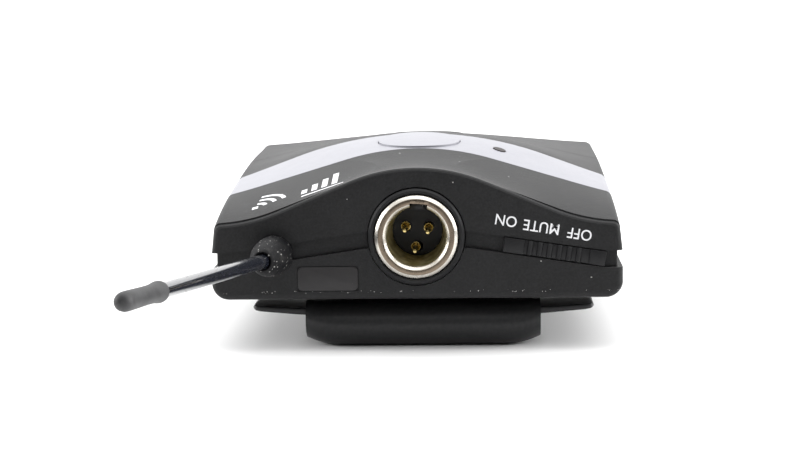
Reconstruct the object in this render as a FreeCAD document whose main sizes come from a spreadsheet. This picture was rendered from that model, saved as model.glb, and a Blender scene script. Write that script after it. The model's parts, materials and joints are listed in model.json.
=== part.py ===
"""Wireless bodypack transmitter, lying on its belt clip with its front face up.

The row frame has its origin on the clip's resting face, below the middle of the case.
+X runs across the case, to the right as the connector end is faced; +Y runs from the
connector end to the battery end; +Z points out of the front face. Lengths are in mm.
"""
import FreeCAD, Part
import math
import os

import Sketcher

App = FreeCAD
V = App.Vector

doc = App.newDocument("bodypack")
sheet = doc.addObject("Spreadsheet::Sheet", "sizes")

# ---------------------------------------------------------------- driving dimensions
SIZES = [
    # the case
    ("case_width", 60.2), ("case_length", 73.5), ("clip_drop", 7.7), ("wall", 1.8), ("roof", 1.3),
    ("floor", 1.6), ("side_draft", 0.11), ("draft_start", 6.5), ("belly_radius", 2.5),
    ("top_edge_radius", 0.9), ("end_edge_radius", 0.8), ("near_corner", 1.0), ("far_corner", 5.0),
    # the recessed belt between the two halves, measured above the case's back
    ("belt_depth", 0.8), ("belt_height", 2.45), ("part_inner_x", 7.7), ("part_inner_z", 7.5),
    ("part_outer_x", 27.5), ("part_outer_z", 4.5), ("part_gap", 0.05),
    # the audio socket
    ("socket_z", 9.2), ("collar_radius", 7.05), ("hole_gap", 0.2), ("shell_radius", 6.15),
    ("shell_bore", 4.3), ("barrel_radius", 4.75), ("shell_proud", 0.9), ("insert_radius", 3.65),
    ("insert_depth", 7.7), ("pin_radius", 0.5), ("pin_length", 6.2), ("pin_circle", 1.95),
    ("pin_drop", 0.35), ("key_width", 2.45),
    # trim on the front
    ("band_start", 15.5), ("band_end", 29.0), ("band_thick", 0.45), ("band_gap", 0.12),
    ("band_edge_z", 12.0), ("badge_radius", 6.3), ("badge_y", 22.25), ("badge_proud", 0.25),
    ("led_x", 12.4), ("led_y", 21.6), ("led_radius", 0.95),
    ("plaque_x", 13.0), ("plaque_z", 3.1), ("plaque_wide", 8.8), ("plaque_tall", 3.5),
    # battery door and cell
    ("door_start", 46.0), ("door_gap", 0.15), ("door_sill_z", 13.0), ("cell_radius", 7.0),
    ("cell_length", 49.2), ("cell_y", 62.3), ("cell_z", 8.75),
    # slide switch, at rest in its off place
    ("cap_x", 20.1), ("cap_length", 15.0), ("cap_height", 2.2), ("cap_proud", 0.3),
    ("rib_pitch", 1.43), ("rib_width", 0.75),
    # antenna
    ("boot_x", 20.9), ("boot_z", 6.7), ("boot_radius", 3.15), ("boot_length", 7.6),
    ("neck_radius", 2.3), ("whip_radius", 1.05), ("whip_length", 56.0), ("tip_radius", 1.35),
    ("tip_length", 14.0), ("whip_left", 11.1), ("whip_up", 3.6), ("whip_span", 62.0),
    # belt clip
    ("clip_thick", 1.2), ("clip_half", 17.2), ("clip_rise", 6.6), ("clip_front", 3.0),
    ("clip_flat_end", 48.0), ("clip_reach", 57.0), ("ear_half", 25.2), ("ear_thick", 1.6),
    ("bracket_end", 34.0), ("clip_screw_x", 8.0), ("clip_screw_y", 24.0),
    # the board
    ("board_half", 22.8), ("board_start", 9.0), ("board_end", 52.0), ("board_z", 4.0),
    ("board_thick", 1.0), ("post_x", 25.6), ("post_near_y", 12.0), ("post_far_y", 42.9),
]
for row, (alias, value) in enumerate(SIZES, start=1):
    sheet.set(f"A{row}", alias)
    sheet.set(f"B{row}", str(value))
    sheet.setAlias(f"B{row}", alias)
doc.recompute()
D = {alias: float(value) for alias, value in SIZES}

Y0 = -D["case_length"] / 2                      # the connector end's face
BACK = D["clip_drop"]                           # the case's back
SLOPE = (D["part_inner_z"] - D["part_outer_z"]) / (D["part_outer_x"] - D["part_inner_x"])
TILT = math.degrees(math.atan(SLOPE))           # fall of the belt away from the socket

# Stations of the case along its length: distance from the connector end, crest height,
# steepest slope in degrees, crest radius, where the flank starts to flatten, its radius.
STATIONS = [
    (0.0, 19.3, 22.5, 25.7, 20.2, 25.7),
    (15.5, 20.9, 16.7, 38.3, 24.0, 120.0),
    (29.0, 22.2, 20.3, 56.0, 24.6, 150.0),
    (46.0, 21.1, 14.0, 80.0, 24.0, 90.0),
    (60.0, 20.0, 9.5, 112.0, 23.5, 70.0),
    (73.5, 18.9, 5.0, 200.0, 23.5, 100.0),
]

SOLIDS = {}                                     # node name -> document object
FEATURES = []                                   # every feature, looked over before the export


# ---------------------------------------------------------------- helpers
def cells(text):
    """Puts the sheet's name before every cell alias in an expression."""
    out, word = "", ""
    for ch in f"{text} ":
        if ch.isalnum() or ch in "_.":
            word += ch
        else:
            out += ("sizes." + word if word in D else word) + ch
            word = ""
    return out.strip()


def at_y(text):
    """A distance from the connector end, as a row coordinate."""
    return f"{text} - case_length / 2"


def at_z(text):
    """A height above the case's back, as a row coordinate."""
    return f"{text} + clip_drop"


def add(kind, name, **lengths):
    obj = doc.addObject(kind, name)
    FEATURES.append(obj)
    for prop, text in lengths.items():
        obj.setExpression(prop, cells(text))
    return obj


def place(obj, at, rotation=None):
    """Puts an object at an expression-driven point, turned by a rotation."""
    if rotation:
        obj.Placement = App.Placement(V(0, 0, 0), rotation)
    for axis, text in zip("xyz", at):
        obj.setExpression(f"Placement.Base.{axis}", cells(text))
    return obj


ALONG = {
    "X": App.Rotation(V(0, 1, 0), 90), "-X": App.Rotation(V(0, 1, 0), -90),
    "Y": App.Rotation(V(1, 0, 0), -90), "-Y": App.Rotation(V(1, 0, 0), 90), "Z": None,
}
TILTED = App.Rotation(V(0, 1, 0), TILT)
ANTENNA = App.Rotation(V(0, 0, 1), V(-D["whip_left"], -D["whip_span"], D["whip_up"]))


def box(name, size, at, rotation=None):
    """A box from its least corner, or turned about that corner."""
    return place(add("Part::Box", name, Length=size[0], Width=size[1], Height=size[2]), at, rotation)


def mid_box(name, size, at):
    """A box centred on a point across X, from its least corner along Y and Z."""
    return box(name, size, (f"{at[0]} - ({size[0]}) / 2", at[1], at[2]))


def rod(name, radius, height, at, along="Z"):
    """A round rod from the middle of its end, along a named axis or as a rotation turns it."""
    turn = ALONG[along] if isinstance(along, str) else along
    return place(add("Part::Cylinder", name, Radius=radius, Height=height), at, turn)


def cone(name, radius_1, radius_2, height, at, along="Z"):
    obj = add("Part::Cone", name, Radius1=radius_1, Radius2=radius_2, Height=height)
    return place(obj, at, ALONG[along])


def fuse(name, *parts):
    obj = add("Part::MultiFuse", name)
    obj.Shapes = list(parts)
    obj.Refine = True
    return obj


def cut(name, base, *tools):
    obj = add("Part::Cut", name)
    obj.Base = base
    obj.Tool = tools[0] if len(tools) == 1 else fuse(name + "_tools", *tools)
    return obj


def common(name, first, second):
    obj = add("Part::Common", name)
    obj.Base, obj.Tool = first, second
    return obj


def group(name, parts):
    obj = add("Part::Compound", name)
    obj.Links = list(parts)
    return obj


def rounded(name, base, radius, wanted):
    """Rounds the edges of base that wanted(edge) picks."""
    doc.recompute()
    picked = [i for i, edge in enumerate(base.Shape.Edges, start=1) if wanted(edge)]
    if not picked:
        raise ValueError(f"{name}: no edge to round")
    obj = add("Part::Fillet", name)
    obj.Base = base
    obj.Edges = [(i, radius, radius) for i in picked]
    return obj


def node(label, obj):
    """Names the finished sub-part and keeps it for the export."""
    obj.Label = label
    SOLIDS[label] = obj
    return obj


def new_body(name):
    obj = doc.addObject("PartDesign::Body", name)
    FEATURES.append(obj)
    return obj


def sketch(owner, name, role="XY_Plane", offset=0.0):
    """A sketch on one of its body's origin planes, moved along the plane's normal."""
    sk = owner.newObject("Sketcher::SketchObject", name)
    sk.AttachmentSupport = [(next(f for f in owner.Origin.OriginFeatures if f.Role == role), "")]
    sk.MapMode = "FlatFace"
    sk.AttachmentOffset = App.Placement(V(0, 0, offset), App.Rotation())
    return sk


def outline(sk, points):
    """Closes straight edges through the points and fixes them where they are."""
    for a, b in zip(points, points[1:] + points[:1]):
        line = sk.addGeometry(Part.LineSegment(V(*a), V(*b)), False)
        sk.addConstraint(Sketcher.Constraint("Block", line))
    return sk


def rectangle(sk, wide, tall):
    """A rectangle centred on the sketch's origin, with its sizes bound to cells."""
    corners = [V(-1, -1, 0), V(1, -1, 0), V(1, 1, 0), V(-1, 1, 0)]
    sides = zip(corners, corners[1:] + corners[:1])
    lines = [sk.addGeometry(Part.LineSegment(a, b), False) for a, b in sides]
    for i in range(4):
        sk.addConstraint(Sketcher.Constraint("Coincident", lines[i], 2, lines[(i + 1) % 4], 1))
        sk.addConstraint(Sketcher.Constraint("Horizontal" if i % 2 == 0 else "Vertical", lines[i]))
    sk.addConstraint(Sketcher.Constraint("Symmetric", lines[0], 1, lines[2], 1, -1, 1))
    for line, text in ((lines[0], wide), (lines[1], tall)):
        size = sk.addConstraint(Sketcher.Constraint("Distance", line, 2.0))
        sk.setExpression(f"Constraints[{size}]", cells(text))
    return sk


def feature(owner, kind, name, sk, **lengths):
    obj = owner.newObject("PartDesign::" + kind, name)
    FEATURES.append(obj)
    obj.Profile = sk
    for prop, text in lengths.items():
        obj.setExpression(prop, cells(text))
    return obj


def revolved(name, profile, at):
    """A body turned about Y: its profile is (radius, distance along +Y) points."""
    owner = new_body(name)
    sk = outline(sketch(owner, name + "_profile"), profile)
    turned = feature(owner, "Revolution", name + "_turned", sk)
    turned.ReferenceAxis = (sk, ["V_Axis"])
    turned.Angle = 360
    return place(owner, at)


# ---------------------------------------------------------------- the case's outer form
def arc(a, middle, b):
    """A circular arc through three points, as sketch geometry."""
    full = Part.Arc(a, middle, b)
    ends = full.FirstParameter, full.LastParameter
    return Part.ArcOfCircle(full.value(ends[0]), full.value(sum(ends) / 2), full.value(ends[1]))


def front_height(station, inset):
    """The front's half-section: its crest, the two ends of its straight flank, and the
    height of the arc that flattens from there to the side."""
    _, crest, steep, crest_radius, flat_x, flat_radius = station
    slope = math.radians(steep)
    crest -= inset
    x1, z1 = crest_radius * math.sin(slope), crest - crest_radius * (1 - math.cos(slope))
    x2, z2 = flat_x, z1 - (flat_x - x1) * math.tan(slope)
    centre_x, centre_z = x2 + flat_radius * math.sin(slope), z2 + flat_radius * math.cos(slope)

    def low(x):
        return centre_z - math.sqrt(flat_radius ** 2 - (centre_x - x) ** 2)

    return crest, (x1, z1), (x2, z2), low


def case_section(owner, name, station, y, inset_top, inset_side, bottom):
    """One closed cross-section of the case, in the plane at y."""
    crest, (x1, z1), (x2, z2), low = front_height(station, inset_top)
    half = D["case_width"] / 2 - inset_side
    bend = D["draft_start"]
    corner = D["top_edge_radius"]
    belly = max(D["belly_radius"] - inset_side, 0.5)

    def side(z):
        return half - D["side_draft"] * max(0.0, z - bend)

    edge_x = side(low(half - 1.0))
    edge = V(edge_x, low(edge_x))
    up = V(side(edge.y - corner), edge.y - corner)
    over = V(edge_x - corner, low(edge_x - corner))
    k = belly * (1 - math.sqrt(0.5))
    right = [
        ("arc", V(half - belly, bottom), V(half - k, bottom + k), V(half, bottom + belly)),
        ("line", V(half, bottom + belly), V(half, bend)),
        ("line", V(half, bend), up),
        ("arc", up, (up + over) * 0.29 + edge * 0.42, over),
        ("arc", over, V((over.x + x2) / 2, low((over.x + x2) / 2)), V(x2, z2)),
        ("line", V(x2, z2), V(x1, z1)),
    ]
    left = [(kind, *[V(-p.x, p.y) for p in reversed(points)]) for kind, *points in reversed(right)]
    base = ("line", V(-half + belly, bottom), V(half - belly, bottom))
    sk = sketch(owner, name, "XZ_Plane", -y)
    for kind, *points in (base, *right, ("arc", V(x1, z1), V(0, crest), V(-x1, z1)), *left):
        points = [V(p.x, p.y + BACK) for p in points]
        edge_id = sk.addGeometry(arc(*points) if kind == "arc" else Part.LineSegment(*points), False)
        sk.addConstraint(Sketcher.Constraint("Block", edge_id))
    return sk


def plan_form(name, inset):
    """A tall block with the case's plan outline, set in all round."""
    owner = new_body(name)
    sk = rectangle(sketch(owner, name + "_plan"), f"case_width - 2 * {inset}", f"case_length - 2 * {inset}")
    solid = feature(owner, "Pad", name + "_block", sk, Length="40")
    for end, sign in (("near", -1), ("far", 1)):
        doc.recompute()
        corners = [f"Edge{i}" for i, e in enumerate(solid.Shape.Edges, start=1)
                   if e.BoundBox.ZLength > 39 and e.BoundBox.YMin * sign > 20]
        rounding = owner.newObject("PartDesign::Fillet", f"{name}_{end}_corners")
        rounding.Base = (solid, corners)
        rounding.Radius = max(D[end + "_corner"] - D.get(inset, 0.0), 0.3)
        solid = rounding
    return owner


def case_form(name, inset_top=0.0, inset_side=0.0, bottom=0.0, inset_end="0"):
    """The case's solid form as a loft through its stations, set in by the given amounts."""
    owner = new_body(name)
    end = D.get(inset_end, 0.0)
    sections = []
    for i, station in enumerate(STATIONS):
        y = min(max(station[0], end), D["case_length"] - end) + Y0
        sections.append(case_section(owner, f"{name}_station_{i}", station, y, inset_top, inset_side,
                                     bottom))
    loft = feature(owner, "AdditiveLoft", name + "_loft", sections[0])
    loft.Sections = sections[1:]
    return owner


def end_cut(name, station, y, way):
    """What rounding an end takes away: the block beyond it, less a stack of sections
    that shrink in a quarter circle towards the end's face."""
    radius = D["end_edge_radius"]
    owner = new_body(name)
    sections = []
    for i in range(5):
        turn = math.radians(22.5 * i)
        inset = radius * (1 - math.cos(turn))
        out = y + way * radius * (math.sin(turn) - 1)
        sections.append(case_section(owner, f"{name}_{i}", station, out, inset, inset, inset))
    loft = feature(owner, "AdditiveLoft", name + "_loft", sections[0])
    loft.Sections = sections[1:]
    loft.Ruled = True
    start = f"{y - radius if way > 0 else y - 1:.4f}"
    block = box(name + "_block", ("80", "end_edge_radius + 1", "40"), ("-40", start, "-2"))
    return cut(name + "_rim", block, owner)


def outer_form():
    """The whole case before it is split: the loft within its plan, with its two end faces'
    edges rounded."""
    stock = common("outer_stock", case_form("outer_loft"), plan_form("outer_plan", "0"))
    return cut("outer_form", stock, end_cut("near_end", STATIONS[0], Y0, -1),
               end_cut("far_end", STATIONS[-1], -Y0, 1))


def parting_block(name, lower, upper):
    """Everything between two copies of the parting line, raised by the given amounts."""
    half = D["case_width"]
    line = [(half, D["part_outer_z"]), (D["part_outer_x"], D["part_outer_z"]),
            (D["part_inner_x"], D["part_inner_z"])]
    line = line + [(-x, z) for x, z in reversed(line)]
    top = [(x, z + upper + BACK) for x, z in line]
    low = [(x, z + lower + BACK) for x, z in reversed(line)] if lower > -5 else [(-half, -5), (half, -5)]
    owner = new_body(name)
    sk = outline(sketch(owner, name + "_line", "XZ_Plane"), top + low)
    feature(owner, "Pad", name + "_block", sk, Length="100").Midplane = True
    return owner


OUTER = outer_form()
INNER = common("inner_form", case_form("inner_loft", D["roof"], D["wall"], D["floor"], "wall"),
               plan_form("inner_plan", "wall"))
BELT = cut("belt_recess", parting_block("belt_slab", 0.0, D["belt_height"]),
           plan_form("belt_floor", "belt_depth"))


# ---------------------------------------------------------------- case and trim
def corner_places():
    """The four posts that the case screws run into: (side, distance from the near end)."""
    return [(sx, y) for sx in (-1, 1) for y in ("post_near_y", "post_far_y")]


def wall_holes(name):
    """The holes through the connector end's wall, which cross the parting line."""
    return [
        rod(name + "_socket_hole", "collar_radius + hole_gap", "4", ("0", at_y("-1"), at_z("socket_z")),
            "Y"),
        rod(name + "_boot_hole", "neck_radius + 0.15", "4", ("-boot_x", at_y("-1"), at_z("boot_z")), "Y"),
    ]


def band_zone(name, start, end, low, form):
    """What of a form lies within the trim band's stretch of the front."""
    zone = box(name + "_zone", ("80", f"{end} - ({start})", "30"), ("-40", at_y(start), at_z(low)))
    return common(name + "_stretch", form, zone)


def rear_case():
    below = parting_block("below_parting", -9.0, -D["part_gap"])
    tub = cut("rear_shell", common("rear_solid", OUTER, below), INNER)
    pads, bores = [], []
    for i, (side, y) in enumerate(corner_places()):
        x = f"{side} * post_x"
        pads.append(rod(f"rear_post_{i}", "2.4", "4.4 - 0.05", (x, at_y(y), at_z("0.1"))))
        bores.append(rod(f"rear_screw_way_{i}", "1.15", "6", (x, at_y(y), at_z("-0.5"))))
        bores.append(rod(f"rear_head_way_{i}", "2.1", "2.1", (x, at_y(y), at_z("-0.5"))))
    for i, (side, y) in enumerate(board_screw_places()):
        x = f"{side} * 19.5"
        pads.append(rod(f"board_post_{i}", "2.2", "board_z - 0.15", (x, at_y(y), at_z("0.1"))))
        bores.append(rod(f"board_screw_way_{i}", "0.85", "board_z - floor", (x, at_y(y), at_z("floor"))))
    for side in (-1, 1):
        x = f"{side} * clip_screw_x"
        pads.append(rod(f"clip_post_{side + 1}", "2.4", "3.85", (x, at_y("clip_screw_y"), at_z("0.1"))))
        bores.append(rod(f"clip_screw_way_{side + 1}", "0.95", "4.6",
                         (x, at_y("clip_screw_y"), at_z("-1.3"))))
    pads.append(mid_box("clip_pad", ("26", "26", "1.1 - 0.02"), ("0", at_y("8"), at_z("-1.08"))))
    pads.append(mid_box("cell_wall", ("46", "1.2", "6"), ("0", at_y("53.2"), at_z("floor - 0.1"))))
    pads += [mid_box(f"cell_saddle_{side + 1}", ("1.6", "12", "1.9"),
                     (f"{side} * 15", at_y("56.3"), at_z("floor - 0.1")))
             for side in (-1, 1)]
    saddle = rod("cell_way", "cell_radius + 0.1", "60", ("-30", at_y("cell_y"), at_z("cell_z")), "X")
    plaque = mid_box("plaque_pocket", ("plaque_wide + 0.2", "1.2", "plaque_tall + 0.2"),
                     ("-plaque_x", at_y("-1"), at_z("plaque_z - plaque_tall / 2 - 0.1")))
    body_ = fuse("rear_with_posts", tub, *pads)
    node("rear_case", cut("rear_bored", body_, *bores, saddle, plaque, *wall_holes("rear")))


def front_case():
    below = parting_block("under_front", -9.0, 0.0)
    shell = cut("front_shell", OUTER, below, INNER)
    posts, bores = [], []
    for i, (side, y) in enumerate(corner_places()):
        x = f"{side} * post_x"
        posts.append(rod(f"front_post_{i}", "2.4", "16", (x, at_y(y), at_z("part_outer_z"))))
        bores.append(rod(f"front_screw_bore_{i}", "1.05", "6.5", (x, at_y(y), at_z("part_outer_z - 0.5"))))
    post_stock = common("front_posts", fuse("front_post_rods", *posts), OUTER)
    pocket = cut("band_pocket", band_zone("pocket", "band_start - band_gap", "band_end + band_gap",
                                          "band_edge_z - band_gap", OUTER), BAND_FLOOR)
    door_room = box("door_room", ("80", "40", "30"), ("-40", at_y("door_start"), at_z("door_sill_z")))
    cap_way = box("cap_stem_way", ("8.2", "2.6", "1.7"),
                  ("cap_x - 6.1", at_y("0.5"), at_z(str(round(cap_centre_z() + 0.06, 3)))), TILTED)
    led_way = rod("led_way", "led_radius + 0.08", "12", ("led_x", at_y("led_y"), at_z("12")))
    whole = fuse("front_with_posts", shell, post_stock)
    node("front_case", cut("front_bored", whole, BELT, pocket, door_room, cap_way, led_way,
                           *bores, *wall_holes("front")))


def battery_door():
    room = box("door_block", ("80", "40", "30"),
               ("-40", at_y("door_start + door_gap"), at_z("door_sill_z + door_gap")))
    cover = cut("door_cover", common("door_solid", OUTER, room), INNER)
    tongue = mid_box("door_tongue", ("16", "6.5", "1.0"), ("0", at_y("door_start - 2.6"), at_z("18.0")))
    root = common("door_root", mid_box("door_root_block", ("16", "3.4", "3"),
                                       ("0", at_y("door_start + 0.4"), at_z("18.0"))), OUTER)
    grips = [rod(f"door_grip_{i}", "0.45", "16", ("-8", at_y(f"58 + 2 * {i}"), at_z(str(GRIP_Z[i]))), "X")
             for i in range(5)]
    node("battery_door", cut("door_gripped", fuse("door_with_tongue", cover, tongue, root), *grips))


def trim():
    stretch = band_zone("band", "band_start", "band_end", "band_edge_z", OUTER)
    skin = cut("band_skin", stretch, BAND_BACK)
    badge_hole = rod("badge_hole", "badge_radius + 0.1", "20", ("0", at_y("badge_y"), at_z("12")))
    led_hole = rod("led_hole", "led_radius + 0.08", "20", ("led_x", at_y("led_y"), at_z("12")))
    node("trim_band", cut("band_pierced", skin, badge_hole, led_hole))
    disc = rod("badge_rod", "badge_radius", "20", ("0", at_y("badge_y"), at_z("12")))
    node("badge_disc", cut("badge_skin", common("badge_stock", disc, BADGE_TOP), BAND_BACK))
    top = rod("pipe_stock", "led_radius", "20", ("led_x", at_y("led_y"), at_z("7")))
    node("light_pipe", common("pipe_solid", top, PIPE_TOP))
    node("label_plaque", mid_box("plaque", ("plaque_wide", "0.27", "plaque_tall"),
                                 ("-plaque_x", at_y("-0.09"), at_z("plaque_z - plaque_tall / 2"))))


# ---------------------------------------------------------------- audio socket
def socket():
    proud, bore, barrel = D["shell_proud"], D["shell_bore"], D["barrel_radius"]
    collar = D["collar_radius"]
    centre = ("0", at_y("0"), at_z("socket_z"))
    node("socket_collar", revolved("collar", [
        (6.25, -0.25), (6.45, -0.45), (collar - 0.3, -0.45), (collar, -0.15), (collar, 1.9),
        (collar + 0.4, 1.9), (collar + 0.4, 3.0), (barrel + 0.1, 3.0), (barrel + 0.1, 2.0), (6.25, 2.0),
    ], centre))
    shell = revolved("shell_blank", [
        (bore + 0.5, -proud), (D["shell_radius"] - 0.45, -proud), (D["shell_radius"], -proud + 0.45),
        (D["shell_radius"], 1.95), (barrel, 1.95), (barrel, 11.4), (D["insert_radius"] + 0.05, 11.4),
        (D["insert_radius"] + 0.05, 5.6), (bore, 1.3), (bore, -proud + 0.5),
    ], centre)
    key = mid_box("key_way", ("key_width", "7", "1.2"),
                  ("0", at_y("-shell_proud - 0.1"), at_z("socket_z + shell_bore - 0.8")))
    node("socket_shell", cut("shell_keyed", shell, key))
    ways, pins = [], []
    for i, angle in enumerate((30, 150, 270)):
        x = round(D["pin_circle"] * math.cos(math.radians(angle)), 3)
        z = round(D["pin_circle"] * math.sin(math.radians(angle)), 3)
        z_text = at_z(f"socket_z - pin_drop + {z}")
        ways.append(rod(f"pin_way_{i}", "0.78", "5", (str(x), at_y("insert_depth - 1"), z_text), "Y"))
        pin = rod(f"pin_{i}", "pin_radius", "14", (str(x), at_y("insert_depth - pin_length + 0.4"), z_text),
                  "Y")
        tip = cone(f"pin_tip_{i}", "0.2", "pin_radius", "0.4",
                   (str(x), at_y("insert_depth - pin_length"), z_text), "Y")
        foot = rod(f"pin_collar_{i}", "0.73", "0.8", (str(x), at_y("insert_depth - 0.35"), z_text), "Y")
        pins.append(fuse(f"contact_pin_{i}", pin, tip, foot))
    insert = rod("insert_blank", "insert_radius", "3.4", ("0", at_y("insert_depth"), at_z("socket_z")), "Y")
    node("socket_insert", cut("insert_bored", insert, *ways))
    node("contact_pins", group("contact_pin_set", pins))
    nut = new_body("nut")
    hexagon = [(5.75 * math.cos(math.radians(60 * i)),
                5.75 * math.sin(math.radians(60 * i))) for i in range(6)]
    sk = outline(sketch(nut, "nut_outline", "XZ_Plane"), hexagon)
    feature(nut, "Pad", "nut_block", sk, Length="2").Reversed = True
    place(nut, ("0", at_y("3.05"), at_z("socket_z")))
    hole = rod("nut_thread", "barrel_radius + 0.05", "4", ("0", at_y("2.5"), at_z("socket_z")), "Y")
    node("socket_nut", cut("nut_threaded", nut, hole))


# ---------------------------------------------------------------- slide switch
def cap_centre_z():
    """Height of the middle of the switch cap above the case's back, in its off place."""
    return D["part_inner_z"] - (D["cap_x"] - D["part_inner_x"]) * SLOPE + D["belt_height"] / 2


def slope_box(name, length, tall, start, depth, along=0.0, up=0.0):
    """A box lying along the belt's slope, placed from the middle of the switch cap."""
    lean = math.radians(TILT)
    run = along - value_of(length) / 2
    rise = up - value_of(tall) / 2
    x = D["cap_x"] + run * math.cos(lean) + rise * math.sin(lean)
    z = cap_centre_z() - run * math.sin(lean) + rise * math.cos(lean)
    return box(name, (length, depth, tall), (f"{x:.3f}", at_y(start), at_z(f"{z:.3f}")), TILTED)


def value_of(text):
    """The value of a cell alias or of a plain number."""
    return D[text] if text in D else float(text)


def slide_switch():
    """The cap rides in the belt; its fork takes a small slide switch's lever along."""
    slab = slope_box("cap_slab", "cap_length", "cap_height", "-0.05", "0.75")
    ribs = [slope_box(f"cap_rib_{i}", "rib_width", "cap_height", "-cap_proud", "0.4",
                      along=D["cap_length"] / 2 - 3.4 - D["rib_pitch"] * i) for i in range(6)]
    stem = slope_box("cap_stem", "3.6", "1.3", "0.6", "4.2")
    notch = mid_box("cap_fork", ("1.8", "2.4", "4"),
                    ("cap_x", at_y("2.5"), at_z(f"{cap_centre_z() - 2:.3f}")))
    node("switch_cap", cut("cap_forked", fuse("cap_solid", slab, stem, *ribs), notch))
    lever_z = round(cap_centre_z() + 0.3, 3)
    lever = mid_box("lever_blade", ("1.5", "3.9", "0.9"), ("cap_x", at_y("3.1"), at_z(f"{lever_z} - 0.45")))
    shoe = mid_box("lever_shoe", ("3", "1.6", "1.8"), ("cap_x", at_y("6.4"), at_z(f"{lever_z} - 0.9")))
    node("switch_lever", fuse("lever_solid", lever, shoe))
    shell = mid_box("housing_block", ("13", "3.2", "3.7"), ("cap_x - 2", at_y("5.6"), at_z("5.2")))
    slot = mid_box("housing_slot", ("6", "2", "1.1"), ("cap_x - 2", at_y("4.6"), at_z(f"{lever_z} - 0.55")))
    room = mid_box("housing_room", ("8", "2.0", "2.1"),
                   ("cap_x - 2", at_y("6.2"), at_z(f"{lever_z} - 1.05")))
    legs = [mid_box(f"housing_leg_{i}", ("0.5", "2.4", "0.3"),
                    (f"cap_x - 6 + 2 * {i}", at_y("8.7"), at_z("5.2")))
            for i in range(5)]
    node("switch_housing", cut("housing_hollow", fuse("housing_solid", shell, *legs), slot, room))


# ---------------------------------------------------------------- electronics
def board_screw_places():
    return [(-1, "15"), (1, "15"), (-1, "36"), (1, "36")]


def board():
    owner = new_body("board_blank")
    sk = rectangle(sketch(owner, "board_outline"), "2 * board_half", "board_end - board_start")
    feature(owner, "Pad", "board_pad", sk, Length="board_thick")
    place(owner, ("0", at_y("(board_start + board_end) / 2"), at_z("board_z")))
    ways = [rod(f"board_way_{i}", "1.15", "3", (f"{sx} * 19.5", at_y(y), at_z("board_z - 1")))
            for i, (sx, y) in enumerate(board_screw_places())]
    notch = mid_box("board_notch", ("11", "4", "3"), ("0", at_y("board_start - 1"), at_z("board_z - 1")))
    node("main_board", cut("board_drilled", owner, notch, *ways))
    can = mid_box("can_block", ("18", "16", "3.2"),
                  ("-7", at_y("26"), at_z("board_z + board_thick + 0.02")))
    room = mid_box("can_room", ("17.4", "15.4", "3.2"),
                   ("-7", at_y("26.3"), at_z("board_z + board_thick - 0.28")))
    vents = [rod(f"can_vent_{i}_{j}", "0.6", "2",
                 (f"-12.4 + 3.6 * {i}", at_y(f"30 + 4 * {j}"), at_z("7.4")))
             for i in range(4) for j in range(3)]
    node("rf_shield_can", cut("can_open", can, room, *vents))
    top = at_z("board_z + board_thick + 0.02")
    chips = [mid_box(name, size, (x, at_y(y), top)) for name, size, x, y in (
        ("audio_chip", ("6", "5", "1.2"), "5", "26"), ("compander_chip", ("5", "6.2", "1.1"), "12.5", "30"),
        ("regulator_chip", ("3", "1.6", "1.0"), "4.5", "19"), ("crystal_can", ("4.6", "1.9", "1.6"), "-12",
                                                               "47"),
        ("inductor_block", ("3.2", "3.2", "2.2"), "5.5", "42"))]
    chips += [rod(f"capacitor_{i}", "1.6", "3.6",
                  (f"-16.5 + 4.4 * {i}", at_y("21"), top)) for i in range(3)]
    chips += [mid_box(f"resistor_{i}_{j}", ("1.6", "0.8", "0.5"),
                      (f"4 + 2.6 * {i}", at_y(f"36 + 1.8 * {j}"), top))
              for i in range(3) for j in range(2)]
    node("board_components", group("component_set", chips))
    node("status_led", rod("led_chip", "1.0", "1.3", ("led_x", at_y("led_y"), top)))


def gain_trimmer():
    x, y = "17", "43"
    base = mid_box("trimmer_block", ("5", "5", "2.4"),
                   (x, at_y(f"{y} - 2.5"), at_z("board_z + board_thick + 0.02")))
    well = rod("trimmer_well", "1.9", "3", (x, at_y(y), at_z("board_z + board_thick + 0.9")))
    node("gain_trimmer_body", cut("trimmer_open", base, well))
    disc = rod("trimmer_disc", "1.83", "1.5", (x, at_y(y), at_z("board_z + board_thick + 0.97")))
    slot = mid_box("trimmer_slot", ("2.8", "0.6", "1"),
                   (x, at_y(f"{y} - 0.3"), at_z("board_z + board_thick + 1.9")))
    node("gain_trimmer_rotor", cut("trimmer_slotted", disc, slot))


def battery():
    half = "cell_length / 2"
    centre = (at_y("cell_y"), at_z("cell_z"))
    shift = "0.6"
    can = rod("cell_can", "cell_radius", "cell_length", (f"{shift} - {half}", *centre), "X")
    nub = rod("cell_nub", "2.6", "1.05", (f"{shift} + {half} - 0.05", *centre), "X")
    doc.recompute()
    edged = rounded("cell_rounded", can, 0.5, lambda e: e.BoundBox.XLength < 0.01)
    node("battery_cell", fuse("cell_solid", edged, nub))
    for label, side, x in (("contact_plate_positive", 1, f"{shift} + {half} + 1.06"),
                           ("contact_plate_negative", -1, f"{shift} - {half} - 2.86")):
        plate = box(label + "_sheet", ("0.4", "11", "11"), (x, at_y("cell_y - 5.5"), at_z("3.2")))
        arm = box(label + "_arm", ("0.4", "10", "1.8"), (x, at_y("49.2"), at_z("5.25")))
        start = "20" if side == 1 else f"{x}"
        reach = f"({x}) - 20 + 0.4" if side == 1 else f"-20 - ({x})"
        foot = box(label + "_foot", (reach, "1.6", "0.3"), (start, at_y("49.2"), at_z("5.05")))
        node(label, fuse(label + "_bent", plate, arm, foot))
    turns = []
    for i in range(6):
        turn = add("Part::Torus", f"spring_turn_{i}", Radius1=f"2.9 - 0.3 * {i}", Radius2="0.24")
        turns.append(place(turn, (f"{shift} - {half} - 2.2 + 0.35 * {i}", *centre), ALONG["X"]))
    node("contact_spring", fuse("spring_turns", *turns))


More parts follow.
